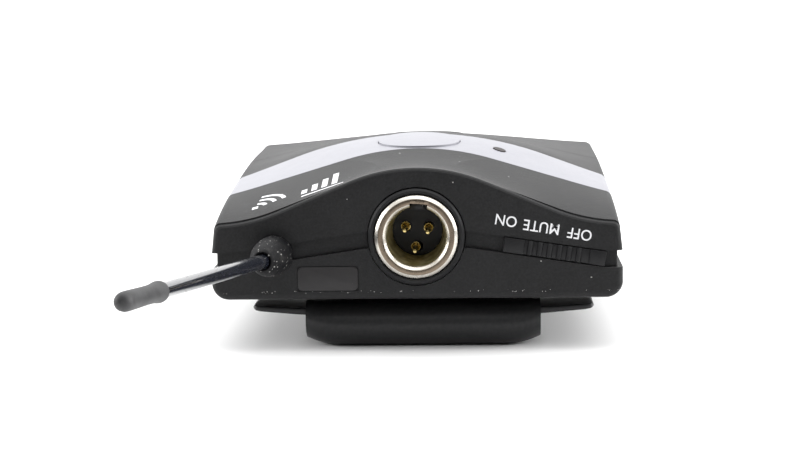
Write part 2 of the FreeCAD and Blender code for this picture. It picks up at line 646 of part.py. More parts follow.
# ---------------------------------------------------------------- antenna
def antenna():
    radius, long = D["boot_radius"], D["boot_length"]
    boot = revolved("boot_solid", [
        (radius, -0.05), (radius + 0.02, -1.6), (radius - 0.2, -3.2), (radius - 0.65, -5.0),
        (2.15, -6.6), (1.75, -7.35), (1.55, -long), (0, -long), (0, 3.4), (radius + 0.2, 3.4),
        (radius + 0.2, 1.95), (D["neck_radius"], 1.95), (D["neck_radius"], -0.05),
    ], ("-boot_x", at_y("0"), at_z("boot_z")))
    bore = rod("boot_bore", "whip_radius + 0.1", "20", ("-boot_x", at_y("-10"), at_z("boot_z")), "Y")
    node("antenna_boot", cut("boot_bored", boot, bore))
    node("antenna_root", rod("root_rod", "whip_radius", "boot_length + 11.4",
                             ("-boot_x", at_y("-boot_length"), at_z("boot_z")), "Y"))
    block = mid_box("terminal_block", ("3.4", "2", "2.2"), ("-boot_x", at_y("9.3"), at_z("5.05")))
    groove = rod("terminal_groove", "whip_radius + 0.05", "6", ("-boot_x", at_y("8"), at_z("boot_z")), "Y")
    node("antenna_terminal", cut("terminal_clip", block, groove))
    pivot = ("-boot_x", at_y("-boot_length - whip_radius - 0.1"), at_z("boot_z"))
    whip = rod("whip_rod", "whip_radius", "whip_length", pivot, ANTENNA)
    knuckle = place(add("Part::Sphere", "whip_end", Radius="whip_radius"), pivot)
    node("antenna_whip", fuse("whip_solid", whip, knuckle))
    lean = ANTENNA.multVec(V(0, 0, 1))
    start = D["whip_length"] - 7.0

    def along(distance):
        return (f"-boot_x + {lean.x * distance:.4f}",
                at_y(f"-boot_length - whip_radius - 0.1 + ({lean.y * distance:.4f})"),
                at_z(f"boot_z + {lean.z * distance:.4f}"))

    tip = rod("tip_rod", "tip_radius", "tip_length", along(start), ANTENNA)
    way = rod("tip_way", "whip_radius + 0.05", "7.1", along(start - 0.05), ANTENNA)
    hollow = cut("tip_bored", tip, way)
    node("antenna_tip", rounded("tip_rounded", hollow, 0.2, tip_edge))


def tip_edge(edge):
    """The two round edges of the antenna's tip sleeve."""
    return abs(edge.Length - 2 * math.pi * D["tip_radius"]) < 0.01


# ---------------------------------------------------------------- belt clip
def clip_strip(name, points_out, points_in, half_width):
    """A bent strip as wide as the clip: its outer line, then its inner line back."""
    owner = new_body(name)
    sk = outline(sketch(owner, name + "_side", "YZ_Plane"), points_out + points_in[::-1])
    feature(owner, "Pad", name + "_width", sk, Length=f"2 * {half_width}").Midplane = True
    return owner


def bend(radius, start, end, steps=8):
    """Points round the clip's bend, from one angle to another."""
    centre_y, centre_z = D["clip_front"] + D["clip_rise"] / 2 + Y0, D["clip_rise"] / 2
    angles = [math.radians(start + (end - start) * i / steps) for i in range(steps + 1)]
    return [(centre_y - radius * math.cos(a), centre_z + radius * math.sin(a)) for a in angles]


def clip():
    """A hairpin of sheet steel, parted at the front of its bend so that it can flex."""
    outer, thick = D["clip_rise"] / 2, D["clip_thick"]
    inner = outer - thick
    rise = D["clip_rise"]
    end = D["bracket_end"] + Y0
    upper = clip_strip("bracket_strip", bend(outer, 0, 90) + [(end, rise)],
                       bend(inner, 0, 90) + [(end, rise - thick)], "clip_half")
    ears = [box(f"clip_ear_{side + 1}", ("ear_half - clip_half + 1", "13", "ear_thick"),
                ("-ear_half" if side < 0 else "clip_half - 1", at_y("5.4"), "clip_rise - ear_thick"))
            for side in (-1, 1)]
    plate = fuse("bracket_solid", upper, *ears)
    seats = [cone(f"clip_seat_{side + 1}", "2.3", "1.1", "1.2",
                  (f"{side} * clip_screw_x", at_y("clip_screw_y"), "clip_rise - clip_thick"))
             for side in (-1, 1)]
    holes = [rod(f"clip_hole_{side + 1}", "1.12", "3",
                 (f"{side} * clip_screw_x", at_y("clip_screw_y"), "clip_rise - 2")) for side in (-1, 1)]
    bored = cut("bracket_bored", plate, *seats, *holes)
    node("clip_bracket", rounded("bracket_rounded", bored, 0.7, ear_edge))
    flat_end, tip_end = D["clip_flat_end"] + Y0, D["clip_reach"] + Y0
    lip = [(flat_end, 0), (flat_end + 4, 1.7), (tip_end - 3.4, 2.5), (tip_end, 1.5)]
    lower = bend(outer, 0, -90) + lip
    back = bend(inner, 0, -90) + [(flat_end - 0.4, thick), (flat_end + 3.6, 1.7 + thick),
                                  (tip_end - 3.4, 2.5 + thick), (tip_end + 0.3, 1.5 + thick * 0.9)]
    tongue = clip_strip("tongue_strip", lower, back, "clip_half")
    node("clip_tongue", rounded("tongue_rounded", tongue, 3.0, lambda e: e.BoundBox.YMin > tip_end - 0.1
                                and e.BoundBox.XLength < 0.01))


def ear_edge(edge):
    """The ears' outer upright corners."""
    room = edge.BoundBox
    return room.XLength < 0.01 and room.YLength < 0.01 and room.XMin ** 2 > (D["ear_half"] - 0.1) ** 2


# ---------------------------------------------------------------- fasteners
def screw(name, at, head, shaft, head_tall, shaft_long, sunk=False):
    """A cross-headed screw driven upwards, its head's underside at the given point."""
    x, y, z = at
    top = f"{z} - {head_tall}"
    dome = (cone(name + "_head", head, shaft, str(head_tall), (x, y, top)) if sunk
            else rod(name + "_head", str(head), str(head_tall), (x, y, top)))
    stem = rod(name + "_stem", str(shaft), f"{shaft_long} + 0.1", (x, y, f"{z} - 0.1"))
    arms = [box(f"{name}_drive_{i}", (f"{head} * {wide}", f"{head} * {deep}", "0.6"),
                (f"{x} - {head} * {wide} / 2", f"{y} - {head} * {deep} / 2", f"{top} - 0.1"))
            for i, (wide, deep) in enumerate(((1.3, 0.3), (0.3, 1.3)))]
    return cut(name, fuse(name + "_solid", dome, stem), *arms)


def fasteners():
    node("case_screws", group("case_screw_set", [
        screw(f"case_screw_{i}", (f"{side} * post_x", at_y(y), at_z("1.55")), 1.95, 1.0, 1.2, 7.5)
        for i, (side, y) in enumerate(corner_places())]))
    node("board_screws", group("board_screw_set", [
        inverted(screw(f"board_screw_{i}", ("0", "0", "0"), 1.9, 0.8, 1.1, 3.2),
                 (f"{side} * 19.5", at_y(y), at_z("board_z + board_thick + 0.05")))
        for i, (side, y) in enumerate(board_screw_places())]))
    node("clip_screws", group("clip_screw_set", [
        screw(f"clip_screw_{side + 1}", (f"{side} * clip_screw_x", at_y("clip_screw_y"), "clip_rise - 0.1"),
              2.15, 0.9, 1.05, 4.2, sunk=True) for side in (-1, 1)]))


def inverted(obj, at):
    """Turns a screw over so that it is driven downwards."""
    obj.Placement = App.Placement(V(0, 0, 0), App.Rotation(V(1, 0, 0), 180))
    return place(obj, at)


# ---------------------------------------------------------------- the whole transmitter
BAND_FLOOR = case_form("band_floor", D["band_thick"] + 0.1, D["band_thick"] + 0.1)
BAND_BACK = case_form("band_back", D["band_thick"], D["band_thick"])
BADGE_TOP = case_form("badge_top", -D["badge_proud"], -D["badge_proud"])
PIPE_TOP = case_form("pipe_top", -0.12, -0.12)
GRIP_Z = [round(20.14 - 0.08 * 2 * i + 0.2, 2) for i in range(5)]

for make in (rear_case, front_case, battery_door, trim, socket, slide_switch, board, gain_trimmer,
             battery, antenna, clip, fasteners):
    make()
doc.recompute()

bad = [f.Name for f in FEATURES if {"Invalid", "Error"} & set(f.State)]
bad += [label for label, obj in SOLIDS.items() if obj.Shape.isNull() or not obj.Shape.isValid()]
if bad:
    raise ValueError("broken features: " + ", ".join(bad))

os.makedirs("parts", exist_ok=True)
for label, obj in SOLIDS.items():
    obj.Shape.exportStep(f"parts/{label}.step")
    room = obj.Shape.BoundBox
    print(f"{label:24s} {len(obj.Shape.Solids)} solid(s) {obj.Shape.Volume:9.1f} mm3  "
          f"x {room.XMin:6.1f} {room.XMax:6.1f}  y {room.YMin:6.1f} {room.YMax:6.1f}  "
          f"z {room.ZMin:5.1f} {room.ZMax:5.1f}")
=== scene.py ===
"""Wireless bodypack transmitter: the finishes, the moulded detail and a plain studio.

Metres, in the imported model's frame: +X across the case, +Y towards the battery end and
+Z out of the front face, with the belt clip resting on the floor.
"""
import json
import math

import bmesh
import bpy
from mathutils import Matrix, Vector
from mathutils.bvhtree import BVHTree


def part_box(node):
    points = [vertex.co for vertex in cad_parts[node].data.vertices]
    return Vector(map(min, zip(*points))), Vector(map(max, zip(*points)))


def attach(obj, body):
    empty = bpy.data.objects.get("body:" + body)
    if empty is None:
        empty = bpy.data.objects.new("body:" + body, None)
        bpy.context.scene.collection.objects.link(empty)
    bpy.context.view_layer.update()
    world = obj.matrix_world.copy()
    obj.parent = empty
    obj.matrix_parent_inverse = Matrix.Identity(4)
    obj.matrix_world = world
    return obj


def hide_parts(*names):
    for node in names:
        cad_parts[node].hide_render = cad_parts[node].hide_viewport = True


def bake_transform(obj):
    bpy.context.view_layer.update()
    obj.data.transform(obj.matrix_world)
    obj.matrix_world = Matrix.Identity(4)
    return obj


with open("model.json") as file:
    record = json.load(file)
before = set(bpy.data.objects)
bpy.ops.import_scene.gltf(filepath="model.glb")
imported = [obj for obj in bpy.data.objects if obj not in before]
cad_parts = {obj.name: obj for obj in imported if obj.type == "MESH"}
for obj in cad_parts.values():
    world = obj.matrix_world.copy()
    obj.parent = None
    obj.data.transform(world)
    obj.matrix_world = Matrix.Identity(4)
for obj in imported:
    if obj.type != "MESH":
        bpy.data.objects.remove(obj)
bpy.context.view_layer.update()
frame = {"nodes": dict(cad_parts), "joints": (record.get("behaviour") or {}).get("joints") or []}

bl_info = {
    "name": "Bodypack Transmitter",
    "version": (1, 0, 0),
    "blender": (4, 5, 0),
    "location": "3D View > Sidebar > Bodypack",
    "description": "Finishes a wireless bodypack transmitter on its packed frame",
    "category": "Object",
}

MM = 0.001
NODES = frame["nodes"]
JOINTS = {joint["name"]: joint for joint in frame["joints"]}


def span(node):
    """The lowest and highest corners of a CAD node, as vectors."""
    low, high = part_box(node)
    return Vector(low), Vector(high)


def middle(node):
    low, high = span(node)
    return (low + high) / 2


BACK_Z = span("clip_bracket")[1].z + 1.1 * MM
NEAR_Y = span("front_case")[0].y
SOCKET = middle("socket_shell")
MOUTH_Y = span("socket_shell")[0].y
CAP = middle("switch_cap")
BOOT = middle("antenna_root")
CLIP_SHIFT = 0.72 * MM


# ------------------------------------------------------------------ node trees
class Value:
    """A node's output that takes part in arithmetic and so adds Math nodes."""

    def __init__(self, tree, socket):
        self.tree = tree
        self.socket = socket

    def maths(self, operation, *terms):
        return self.tree.node("ShaderNodeMath", {"operation": operation}, dict(enumerate(terms)))

    def __add__(self, other):
        return self.maths("ADD", self, other)

    __radd__ = __add__

    def __mul__(self, other):
        return self.maths("MULTIPLY", self, other)

    __rmul__ = __mul__

    def __sub__(self, other):
        return self.maths("SUBTRACT", self, other)

    def __rsub__(self, other):
        return self.maths("SUBTRACT", other, self)

    def __truediv__(self, other):
        return self.maths("DIVIDE", self, other)

    def __gt__(self, other):
        return self.maths("GREATER_THAN", self, other)

    def __lt__(self, other):
        return self.maths("LESS_THAN", self, other)

    def power(self, exponent):
        return self.maths("POWER", self, exponent)

    def absolute(self):
        return self.maths("ABSOLUTE", self)

    def smallest(self, other):
        return self.maths("MINIMUM", self, other)

    def largest(self, other):
        return self.maths("MAXIMUM", self, other)

    def ramp(self, low, high):
        """0 below low, 1 above high and smooth between."""
        settings = {"interpolation_type": "SMOOTHSTEP"}
        return self.tree.node("ShaderNodeMapRange", settings, {0: self, 1: low, 2: high})


class Tree:
    """A node tree, written as calls that return their node's output."""

    def __init__(self, tree):
        self.tree = tree

    def node(self, kind, settings=None, sockets=None, output=0):
        made = self.tree.nodes.new(kind)
        for name, value in (settings or {}).items():
            setattr(made, name, value)
        for name, value in (sockets or {}).items():
            if isinstance(value, Value):
                self.tree.links.new(value.socket, made.inputs[name])
            else:
                made.inputs[name].default_value = value
        return Value(self, made.outputs[output]) if made.outputs else made

    def coords(self):
        return self.node("ShaderNodeTexCoord", output="Object")

    def axes(self, vector=None):
        """The X, Y and Z of a vector, by default the place on the object."""
        split = self.node("ShaderNodeSeparateXYZ", sockets={0: vector or self.coords()})
        return [Value(self, out) for out in split.socket.node.outputs]

    def stretched(self, x, y, z):
        """The place on the object, counted in features per metre along each axis."""
        sockets = {0: self.coords(), 1: (x, y, z)}
        return self.node("ShaderNodeVectorMath", {"operation": "MULTIPLY"}, sockets)

    def noise(self, scale, detail=3.0, roughness=0.55, places=None):
        """Noise of so many features per metre, or over the places given."""
        sockets = {"Vector": places or self.stretched(scale, scale, scale), "Scale": 1.0,
                   "Detail": detail, "Roughness": roughness}
        return self.node("ShaderNodeTexNoise", None, sockets)

    def cells(self, scale, output="Distance"):
        """Voronoi cells, so many to a metre: the distance to a cell's point or its random colour."""
        sockets = {"Vector": self.stretched(scale, scale, scale), "Scale": 1.0}
        return self.node("ShaderNodeTexVoronoi", None, sockets, output)

    def mix(self, factor, first, second):
        """A colour between two others, each a value or an (r, g, b)."""
        pair = {name: value if isinstance(value, Value) else (*value, 1.0)
                for name, value in (("A", first), ("B", second))}
        made = self.tree.nodes.new("ShaderNodeMix")
        made.data_type = "RGBA"
        ins = {socket.name: socket for socket in made.inputs if socket.enabled}
        for name, value in (("Factor", factor), *pair.items()):
            if isinstance(value, Value):
                self.tree.links.new(value.socket, ins[name])
            else:
                ins[name].default_value = value
        return Value(self, next(out for out in made.outputs if out.enabled))

    def bump(self, height, depth, strength=1.0, normal=None):
        """A normal bent by a height from 0 to 1 that stands for a depth in metres."""
        sockets = {"Height": height, "Distance": depth, "Strength": strength}
        if normal:
            sockets["Normal"] = normal
        return self.node("ShaderNodeBump", None, sockets)

    def specks(self, scale, share, size):
        """1 on small irregular dots of mixed sizes, in that share of the cells."""
        chance, spread, _ = self.axes(self.cells(scale, "Color"))
        ragged = self.cells(scale) + self.noise(scale * 5.0, 2.0) * size
        return (ragged < size * 0.6 + spread * size) * (chance > 1.0 - share)


def material(name, build, **constants):
    """A Principled material: build(tree) returns the sockets that vary over the surface."""
    made = bpy.data.materials.new(name)
    made.use_nodes = True
    nodes = made.node_tree.nodes
    shader = nodes["Principled BSDF"]
    for socket, value in constants.items():
        shader.inputs[socket.replace("_", " ")].default_value = value
    for socket, value in build(Tree(made.node_tree)).items():
        if isinstance(value, Value):
            made.node_tree.links.new(value.socket, shader.inputs[socket])
        else:
            shader.inputs[socket].default_value = value
    return made


# ------------------------------------------------------------------ finishes
def look(colour, roughness, normal=None, metallic=None):
    """The sockets of a Principled shader that vary over a surface."""
    sockets = {"Base Color": colour, "Roughness": roughness, "Normal": normal, "Metallic": metallic}
    return {name: value for name, value in sockets.items() if value is not None}


def simple(noise, first, second, rough, spread, depth=0.0, strength=0.5):
    """A finish whose colour, roughness and bump all follow one (scale, detail, roughness) noise."""
    def build(tree, options):
        grain = tree.noise(*noise)
        normal = tree.bump(grain, depth, strength) if depth else None
        return look(tree.mix(grain, first, second), rough + grain * spread, normal)
    return build


def moulded_shell(tree, options):
    """Spark-textured black plastic with dust in its texture and along its lower edge."""
    height = tree.axes()[2]
    grain = tree.noise(3000.0, 3.0, 0.65)
    blotch = tree.noise(160.0, 4.0, 0.6)
    rubbed = tree.noise(420.0, 5.0, 0.7)
    dark = tuple(options.shell_colour)
    pale = tuple(c * 2.4 + 0.004 for c in dark)
    colour = tree.mix((blotch * 0.45 + grain * 0.75).ramp(0.35, 0.85), dark, pale)
    low_line = (height - (BACK_Z + 1.15 * MM)).absolute() < 0.17 * MM
    dust = tree.specks(1100.0, 0.055, 0.15)
    lint = dust.largest(tree.specks(4200.0, 0.34, 0.36) * low_line)
    colour = tree.mix(lint * (rubbed > 0.50) * 0.65, colour, (0.62, 0.61, 0.59))
    rough = 0.42 + blotch * 0.12 + grain * 0.14 - (rubbed > 0.64) * 0.05
    return look(colour, rough, tree.bump(grain, 0.06 * MM, 0.8))


def satin_silver(tree, options):
    """Sprayed silver with fine flake, a little cloudiness and hairline rubbing."""
    flake = tree.axes(tree.cells(9000.0, "Color"))[0]
    cloud = tree.noise(220.0, 3.0, 0.6)
    hair = tree.noise(1.0, 2.0, 0.6, tree.stretched(300.0, 5200.0, 3000.0))
    base = tuple(options.band_colour)
    colour = tree.mix(flake * 0.30 + cloud * 0.25, base, tuple(c * 0.80 for c in base))
    rough = 0.34 + cloud * 0.10 + (hair > 0.63) * 0.10
    return look(colour, rough, tree.bump(flake * 0.5 + hair * 0.5, 0.004 * MM, 0.5))


def turned_nickel(tree, options):
    """Plated metal turned on a lathe: fine marks round the socket, brass showing in the bore."""
    x, y, z = tree.axes()
    radius = ((x - SOCKET.x).power(2.0) + (z - SOCKET.z).power(2.0)).power(0.5)
    places = {0: radius * 4200.0, 1: x * 260.0, 2: z * 260.0}
    marks = tree.noise(1.0, 2.0, 0.6, tree.node("ShaderNodeCombineXYZ", None, places))
    stain = tree.noise(700.0, 5.0, 0.65)
    inside = (y - MOUTH_Y).ramp(0.45 * MM, 1.1 * MM) * (1.0 - radius.ramp(4.5 * MM, 4.8 * MM))
    face = (1.0 - ((radius - 5.22 * MM) / (0.42 * MM)).absolute().smallest(1.0)).ramp(0.0, 0.2)
    face = face * (y < MOUTH_Y + 0.06 * MM)
    tarnish = tree.mix(stain, (0.085, 0.058, 0.036), (0.22, 0.165, 0.115))
    brass = tree.mix(stain.ramp(0.35, 0.65), (0.34, 0.28, 0.09), (0.62, 0.55, 0.34))
    colour = tree.mix(stain * 0.5, (0.74, 0.71, 0.65), (0.56, 0.51, 0.43))
    colour = tree.mix(face * 0.92, colour, tarnish)
    colour = tree.mix(inside, colour, brass)
    normal = tree.bump(marks * 0.7 + stain * 0.4, 0.004 * MM, 0.5)
    return look(colour, 0.20 + stain * 0.16 + inside * 0.12, normal, 1.0 - inside * 0.35)


def smooth_nylon(tree, options):
    """Unfilled black plastic as moulded: nearly smooth, with flow marks and a few scuffs."""
    flow = tree.noise(420.0, 4.0, 0.6)
    scuff = tree.noise(2400.0, 5.0, 0.7)
    colour = tree.mix(flow, (0.004, 0.004, 0.005), (0.013, 0.013, 0.014))
    colour = tree.mix(tree.specks(2100.0, 0.03, 0.12) * 0.6, colour, (0.4, 0.4, 0.39))
    rough = 0.36 + flow * 0.16 + (scuff > 0.62) * 0.10
    return look(colour, rough, tree.bump(scuff, 0.008 * MM, 0.5))


def dusty_rubber(tree, options):
    """Matt rubber that has picked up lint, paler where it is rubbed."""
    skin = tree.noise(2600.0, 5.0, 0.7)
    bloom = tree.noise(520.0, 4.0, 0.65)
    colour = tree.mix(bloom.ramp(0.50, 0.78), (0.003, 0.003, 0.004), (0.032, 0.031, 0.030))
    lint = tree.specks(2600.0, 0.42, 0.26).largest(tree.specks(1400.0, 0.18, 0.17))
    colour = tree.mix(lint * 0.8, colour, (0.60, 0.59, 0.57))
    return look(colour, 0.46 + bloom * 0.30, tree.bump(skin * 0.7 + bloom * 0.3, 0.09 * MM, 0.9))


def whip_coating(tree, options):
    """A smooth glossy sleeve, blue-black, with faint drawn lines along it."""
    drawn = tree.noise(1.0, 3.0, 0.6, tree.stretched(4200.0, 160.0, 4200.0))
    smear = tree.noise(380.0, 4.0, 0.6)
    colour = tree.mix(smear, (0.006, 0.008, 0.014), (0.016, 0.018, 0.026))
    rough = 0.16 + smear * 0.14 + (drawn > 0.64) * 0.08
    return look(colour, rough, tree.bump(drawn, 0.003 * MM, 0.3))


def sleeve_plastic(tree, options):
    """The whip's end sleeve: grey-black plastic with a fine grain and a slight bloom."""
    grain = tree.noise(3400.0, 4.0, 0.65)
    bloom = tree.noise(500.0, 4.0, 0.6)
    colour = tree.mix(bloom.ramp(0.3, 0.7), (0.020, 0.020, 0.021), (0.048, 0.048, 0.050))
    return look(colour, 0.48 + bloom * 0.16, tree.bump(grain, 0.03 * MM, 0.7))


def clip_enamel(tree, options):
    """Semi-gloss black enamel on spring steel: orange peel, and bright wear on the lip."""
    peel = tree.noise(1700.0, 2.0, 0.5)
    chips = tree.noise(1500.0, 6.0, 0.75)
    scrape = tree.noise(1.0, 4.0, 0.7, tree.stretched(3800.0, 260.0, 2000.0))
    lip_start = span("clip_tongue")[1].y - 9 * MM
    lip = (tree.axes()[1] - lip_start).ramp(0.0, 6 * MM)
    worn = (chips + scrape * 0.35 + lip * 0.10).ramp(0.92, 1.0)
    colour = tree.mix(peel, (0.010, 0.010, 0.011), (0.024, 0.024, 0.025))
    colour = tree.mix(worn, colour, (0.34, 0.34, 0.34))
    normal = tree.bump(peel * 0.8 + chips * 0.2, 0.012 * MM, 0.6)
    return look(colour, 0.32 + peel * 0.10 + worn * 0.12, normal, worn)


def label_film(tree, options):
    """A dark plastic label: a fine weave, a slight haze and a little dust."""
    weave = tree.noise(3000.0, 3.0, 0.6)
    haze = tree.noise(300.0, 4.0, 0.6)
    colour = tree.mix(haze, (0.013, 0.012, 0.013), (0.030, 0.028, 0.029))
    colour = tree.mix(tree.specks(1700.0, 0.05, 0.10) * 0.6, colour, (0.4, 0.4, 0.39))
    return look(colour, 0.42 + haze * 0.14, tree.bump(weave, 0.006 * MM, 0.5))


def white_print(tree, options):
    """Pad-printed ink: off-white, slightly thin in places."""
    thin = tree.noise(2400.0, 4.0, 0.7)
    colour = tree.mix(thin.ramp(0.55, 0.85), tuple(options.print_colour), (0.45, 0.45, 0.46))
    return look(colour, 0.45 + thin * 0.15, tree.bump(thin, 0.003 * MM, 0.4))


def blackened_screw(tree, options):
    """Blackened steel, bright where a driver has cut it."""
    cut = tree.noise(3600.0, 5.0, 0.7)
    colour = tree.mix(cut.ramp(0.58, 0.72), (0.030, 0.030, 0.033), (0.30, 0.30, 0.31))
    return look(colour, 0.36 + cut * 0.2, tree.bump(cut, 0.01 * MM, 0.5))


def plated_steel(tree, options):
    """Tinned or nickelled sheet: rolled grain along X and a few dull patches."""
    rolled = tree.noise(1.0, 3.0, 0.6, tree.stretched(260.0, 4200.0, 4200.0))
    dull = tree.noise(600.0, 4.0, 0.6)
    colour = tree.mix(dull, (0.72, 0.71, 0.69), (0.50, 0.49, 0.46))
    return look(colour, 0.24 + dull * 0.18, tree.bump(rolled, 0.005 * MM, 0.5))


def solder_resist(tree, options):
    """A green board: tracks under the resist, tinned pads and a fine weave."""
    x, y, _ = tree.axes()
    pitch, half_track = 1.27 * MM, 0.16
    across = ((x / pitch).maths("FRACT", x / pitch) - 0.5).absolute() < half_track
    along = ((y / pitch).maths("FRACT", y / pitch) - 0.5).absolute() < half_track
    zone = tree.noise(120.0, 0.0) > 0.5
    track = zone * across + (1.0 - zone) * along
    pads = tree.specks(420.0, 0.30, 0.20)
    weave = tree.noise(3800.0, 2.0, 0.5)
    colour = tree.mix(track, (0.010, 0.085, 0.034), (0.022, 0.150, 0.058))
    colour = tree.mix(pads, colour, (0.70, 0.68, 0.62))
    normal = tree.bump(track * 0.7 + weave * 0.3, 0.02 * MM, 0.6)
    return look(colour, 0.30 + weave * 0.14, normal, pads)


def chip_moulding(tree, options):
    """Epoxy packages in slightly different blacks, with a gritty skin."""
    grit = tree.noise(4200.0, 3.0, 0.6)
    lot = tree.axes(tree.cells(260.0, "Color"))[0]
    colour = tree.mix(lot, (0.014, 0.014, 0.015), (0.050, 0.046, 0.042))
    return look(colour, 0.55 + grit * 0.2, tree.bump(grit, 0.012 * MM, 0.6))


def cell_sleeve(tree, options):
    """A shrink sleeve in two plain colours round the cell, bare metal at its ends."""
    x = tree.axes()[0]
    low, high = span("battery_cell")
    border = high.x - 14 * MM
    crinkle = tree.noise(1.0, 4.0, 0.6, tree.stretched(900.0, 2200.0, 2200.0))
    bright = x > border
    bare = (x > high.x - 1.25 * MM).largest(x < low.x + 0.7 * MM)
    seam = ((x - border) / (0.3 * MM)).absolute() < 1.0
    colour = tree.mix(bright, (0.030, 0.032, 0.038), (0.62, 0.40, 0.13))
    colour = tree.mix(seam, colour, (0.72, 0.72, 0.72))
    colour = tree.mix(bare, colour, (0.68, 0.67, 0.65))
    normal = tree.bump(crinkle, 0.03 * MM, 0.4)
    return look(colour, 0.22 + crinkle * 0.14, normal, bare.largest(bright * 0.8))


gold_wear = simple((2600.0, 4.0, 0.6), (0.80, 0.65, 0.29), (0.42, 0.32, 0.12), 0.16, 0.22, 0.006 * MM, 0.4)
smoked_lens = simple((1800.0, 2.0, 0.5), (0.004, 0.003, 0.003), (0.018, 0.008, 0.008), 0.30, 0.12)
lamp_resin = simple((1500.0, 3.0, 0.6), (0.55, 0.030, 0.020), (0.32, 0.016, 0.012), 0.10, 0.10)
blue_nylon = simple((3600.0, 3.0, 0.6), (0.03, 0.09, 0.34), (0.05, 0.13, 0.43), 0.42, 0.16, 0.01 * MM)
white_nylon = simple((3600.0, 3.0, 0.6), (0.78, 0.77, 0.72), (0.62, 0.60, 0.54), 0.40, 0.16, 0.01 * MM)

# Each finish: its builder, the shader's steady values and the frame's nodes that it covers.
FINISHES = {
    "black_shell": (moulded_shell,
                    {"Specular_IOR_Level": 0.30, "Sheen_Weight": 0.12, "Sheen_Roughness": 0.30},
                    "front_case rear_case battery_door"),
    "silver_paint": (satin_silver, {"Metallic": 0.25, "Coat_Weight": 0.15, "Coat_Roughness": 0.25},
                     "trim_band badge_disc"),
    "bright_nickel": (turned_nickel, {}, "socket_shell socket_nut"),
    "gold_plate": (gold_wear, {"Metallic": 1.0}, "contact_pins"),
    "black_nylon": (smooth_nylon, {"Specular_IOR_Level": 0.28},
                    "socket_collar socket_insert switch_cap switch_lever"),
    "dusty_rubber": (dusty_rubber, {"Specular_IOR_Level": 0.2}, "antenna_boot"),
    "whip_coating": (whip_coating, {"Coat_Weight": 1.0, "Coat_Roughness": 0.05, "Coat_IOR": 1.7},
                     "antenna_root antenna_whip"),
    "tip_plastic": (sleeve_plastic, {"Specular_IOR_Level": 0.4}, "antenna_tip"),
    "black_steel": (clip_enamel, {"Specular_IOR_Level": 0.27}, "clip_bracket clip_tongue"),
    "dark_label": (label_film, {"Specular_IOR_Level": 0.36}, "label_plaque"),
    "white_print": (white_print, {}, ""),
    "smoked_plastic": (smoked_lens, {"Specular_IOR_Level": 0.25}, "light_pipe"),
    "dark_screw": (blackened_screw, {"Metallic": 0.8}, "clip_screws case_screws"),
    "plated_steel": (plated_steel, {"Metallic": 1.0},
                     "switch_housing rf_shield_can contact_plate_positive contact_plate_negative "
                     "contact_spring antenna_terminal board_screws"),
    "green_board": (solder_resist, {}, "main_board"),
    "chip_plastic": (chip_moulding, {}, "board_components"),
    "red_led": (lamp_resin, {"Coat_Weight": 0.8}, "status_led"),
    "trimmer_blue": (blue_nylon, {}, "gain_trimmer_body"),
    "trimmer_white": (white_nylon, {}, "gain_trimmer_rotor"),
    "cell_wrap": (cell_sleeve, {"Coat_Weight": 0.4}, "battery_cell"),
}


def finish(name):
    """The finish of that name, made when it is first asked for."""
    label = name + "_finish"
    if label not in bpy.data.materials:
        build, constants, _ = FINISHES[name]
        options = bpy.context.scene.bodypack
        material(label, lambda tree: build(tree, options), **constants)
    return bpy.data.materials[label]


def dress(obj, name):
    """Gives an object one finish in place of those it has."""
    obj.data.materials.clear()
    obj.data.materials.append(finish(name))


# ------------------------------------------------------------------ making pieces
def added(name, data):
    """A new object in the scene."""
    obj = bpy.data.objects.new(name, data)
    bpy.context.scene.collection.objects.link(obj)
    return obj


def as_mesh(form, name):
    """A bmesh as a mesh; the bmesh is freed."""
    mesh = bpy.data.meshes.new(name)
    form.to_mesh(mesh)
    form.free()
    return mesh


def as_form(mesh):
    """A mesh as a bmesh; the mesh is removed."""
    form = bmesh.new()
    form.from_mesh(mesh)
    bpy.data.meshes.remove(mesh)
    return form


def new_piece(name, mesh, finish_name, body, *stands_for, slot=None):
    """A mesh becomes a named piece with a finish, riding on a body in place of some nodes."""
    obj = added(name, mesh)
    dress(obj, finish_name)
    for polygon in mesh.polygons:
        polygon.use_smooth = True
    if body:
        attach(obj, body)
    if stands_for:
        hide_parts(*stands_for)
    return obj


def mesh_of(form, name, sharp=38.0):
    """A bmesh as a mesh, its faces turned outwards and its folds marked sharp."""
    bmesh.ops.recalc_face_normals(form, faces=form.faces)
    limit = math.radians(sharp)
    for edge in form.edges:
        edge.smooth = len(edge.link_faces) == 2 and edge.calc_face_angle(0.0) < limit
    return as_mesh(form, name)


def skin(rings, closed_ring=True, caps=True):
    """A bmesh stretched over rings of points; a ring of one point closes it."""
    form = bmesh.new()
    loops = [[form.verts.new(point) for point in ring] for ring in rings]
    for ring, after in zip(loops, loops[1:]):
        count = max(len(ring), len(after))
        for i in range(count if closed_ring else count - 1):
            j = (i + 1) % count
            corners = [ring[i % len(ring)], ring[j % len(ring)]]
            corners += [after[j % len(after)], after[i % len(after)]]
            corners = list(dict.fromkeys(corners))
            if len(corners) > 2:
                form.faces.new(corners)
    for loop in (loops[0], loops[-1]) if caps and closed_ring else ():
        if len(loop) > 2:
            form.faces.new(loop)
    return form


def circle(centre, direction, radius, steps, reference=(0, 0, 1)):
    """Points round a centre, square to a direction; one point if the radius is nil."""
    centre, axis = Vector(centre), Vector(direction).normalized()
    if radius == 0.0:
        return [centre]
    side = axis.cross(Vector(reference)).normalized()
    up = side.cross(axis)
    turns = [2 * math.pi * i / steps for i in range(steps)]
    return [centre + (side * math.cos(turn) + up * math.sin(turn)) * radius for turn in turns]


def metres(pairs):
    """Pairs of millimetres, as metres."""
    return [(first * MM, second * MM) for first, second in pairs]


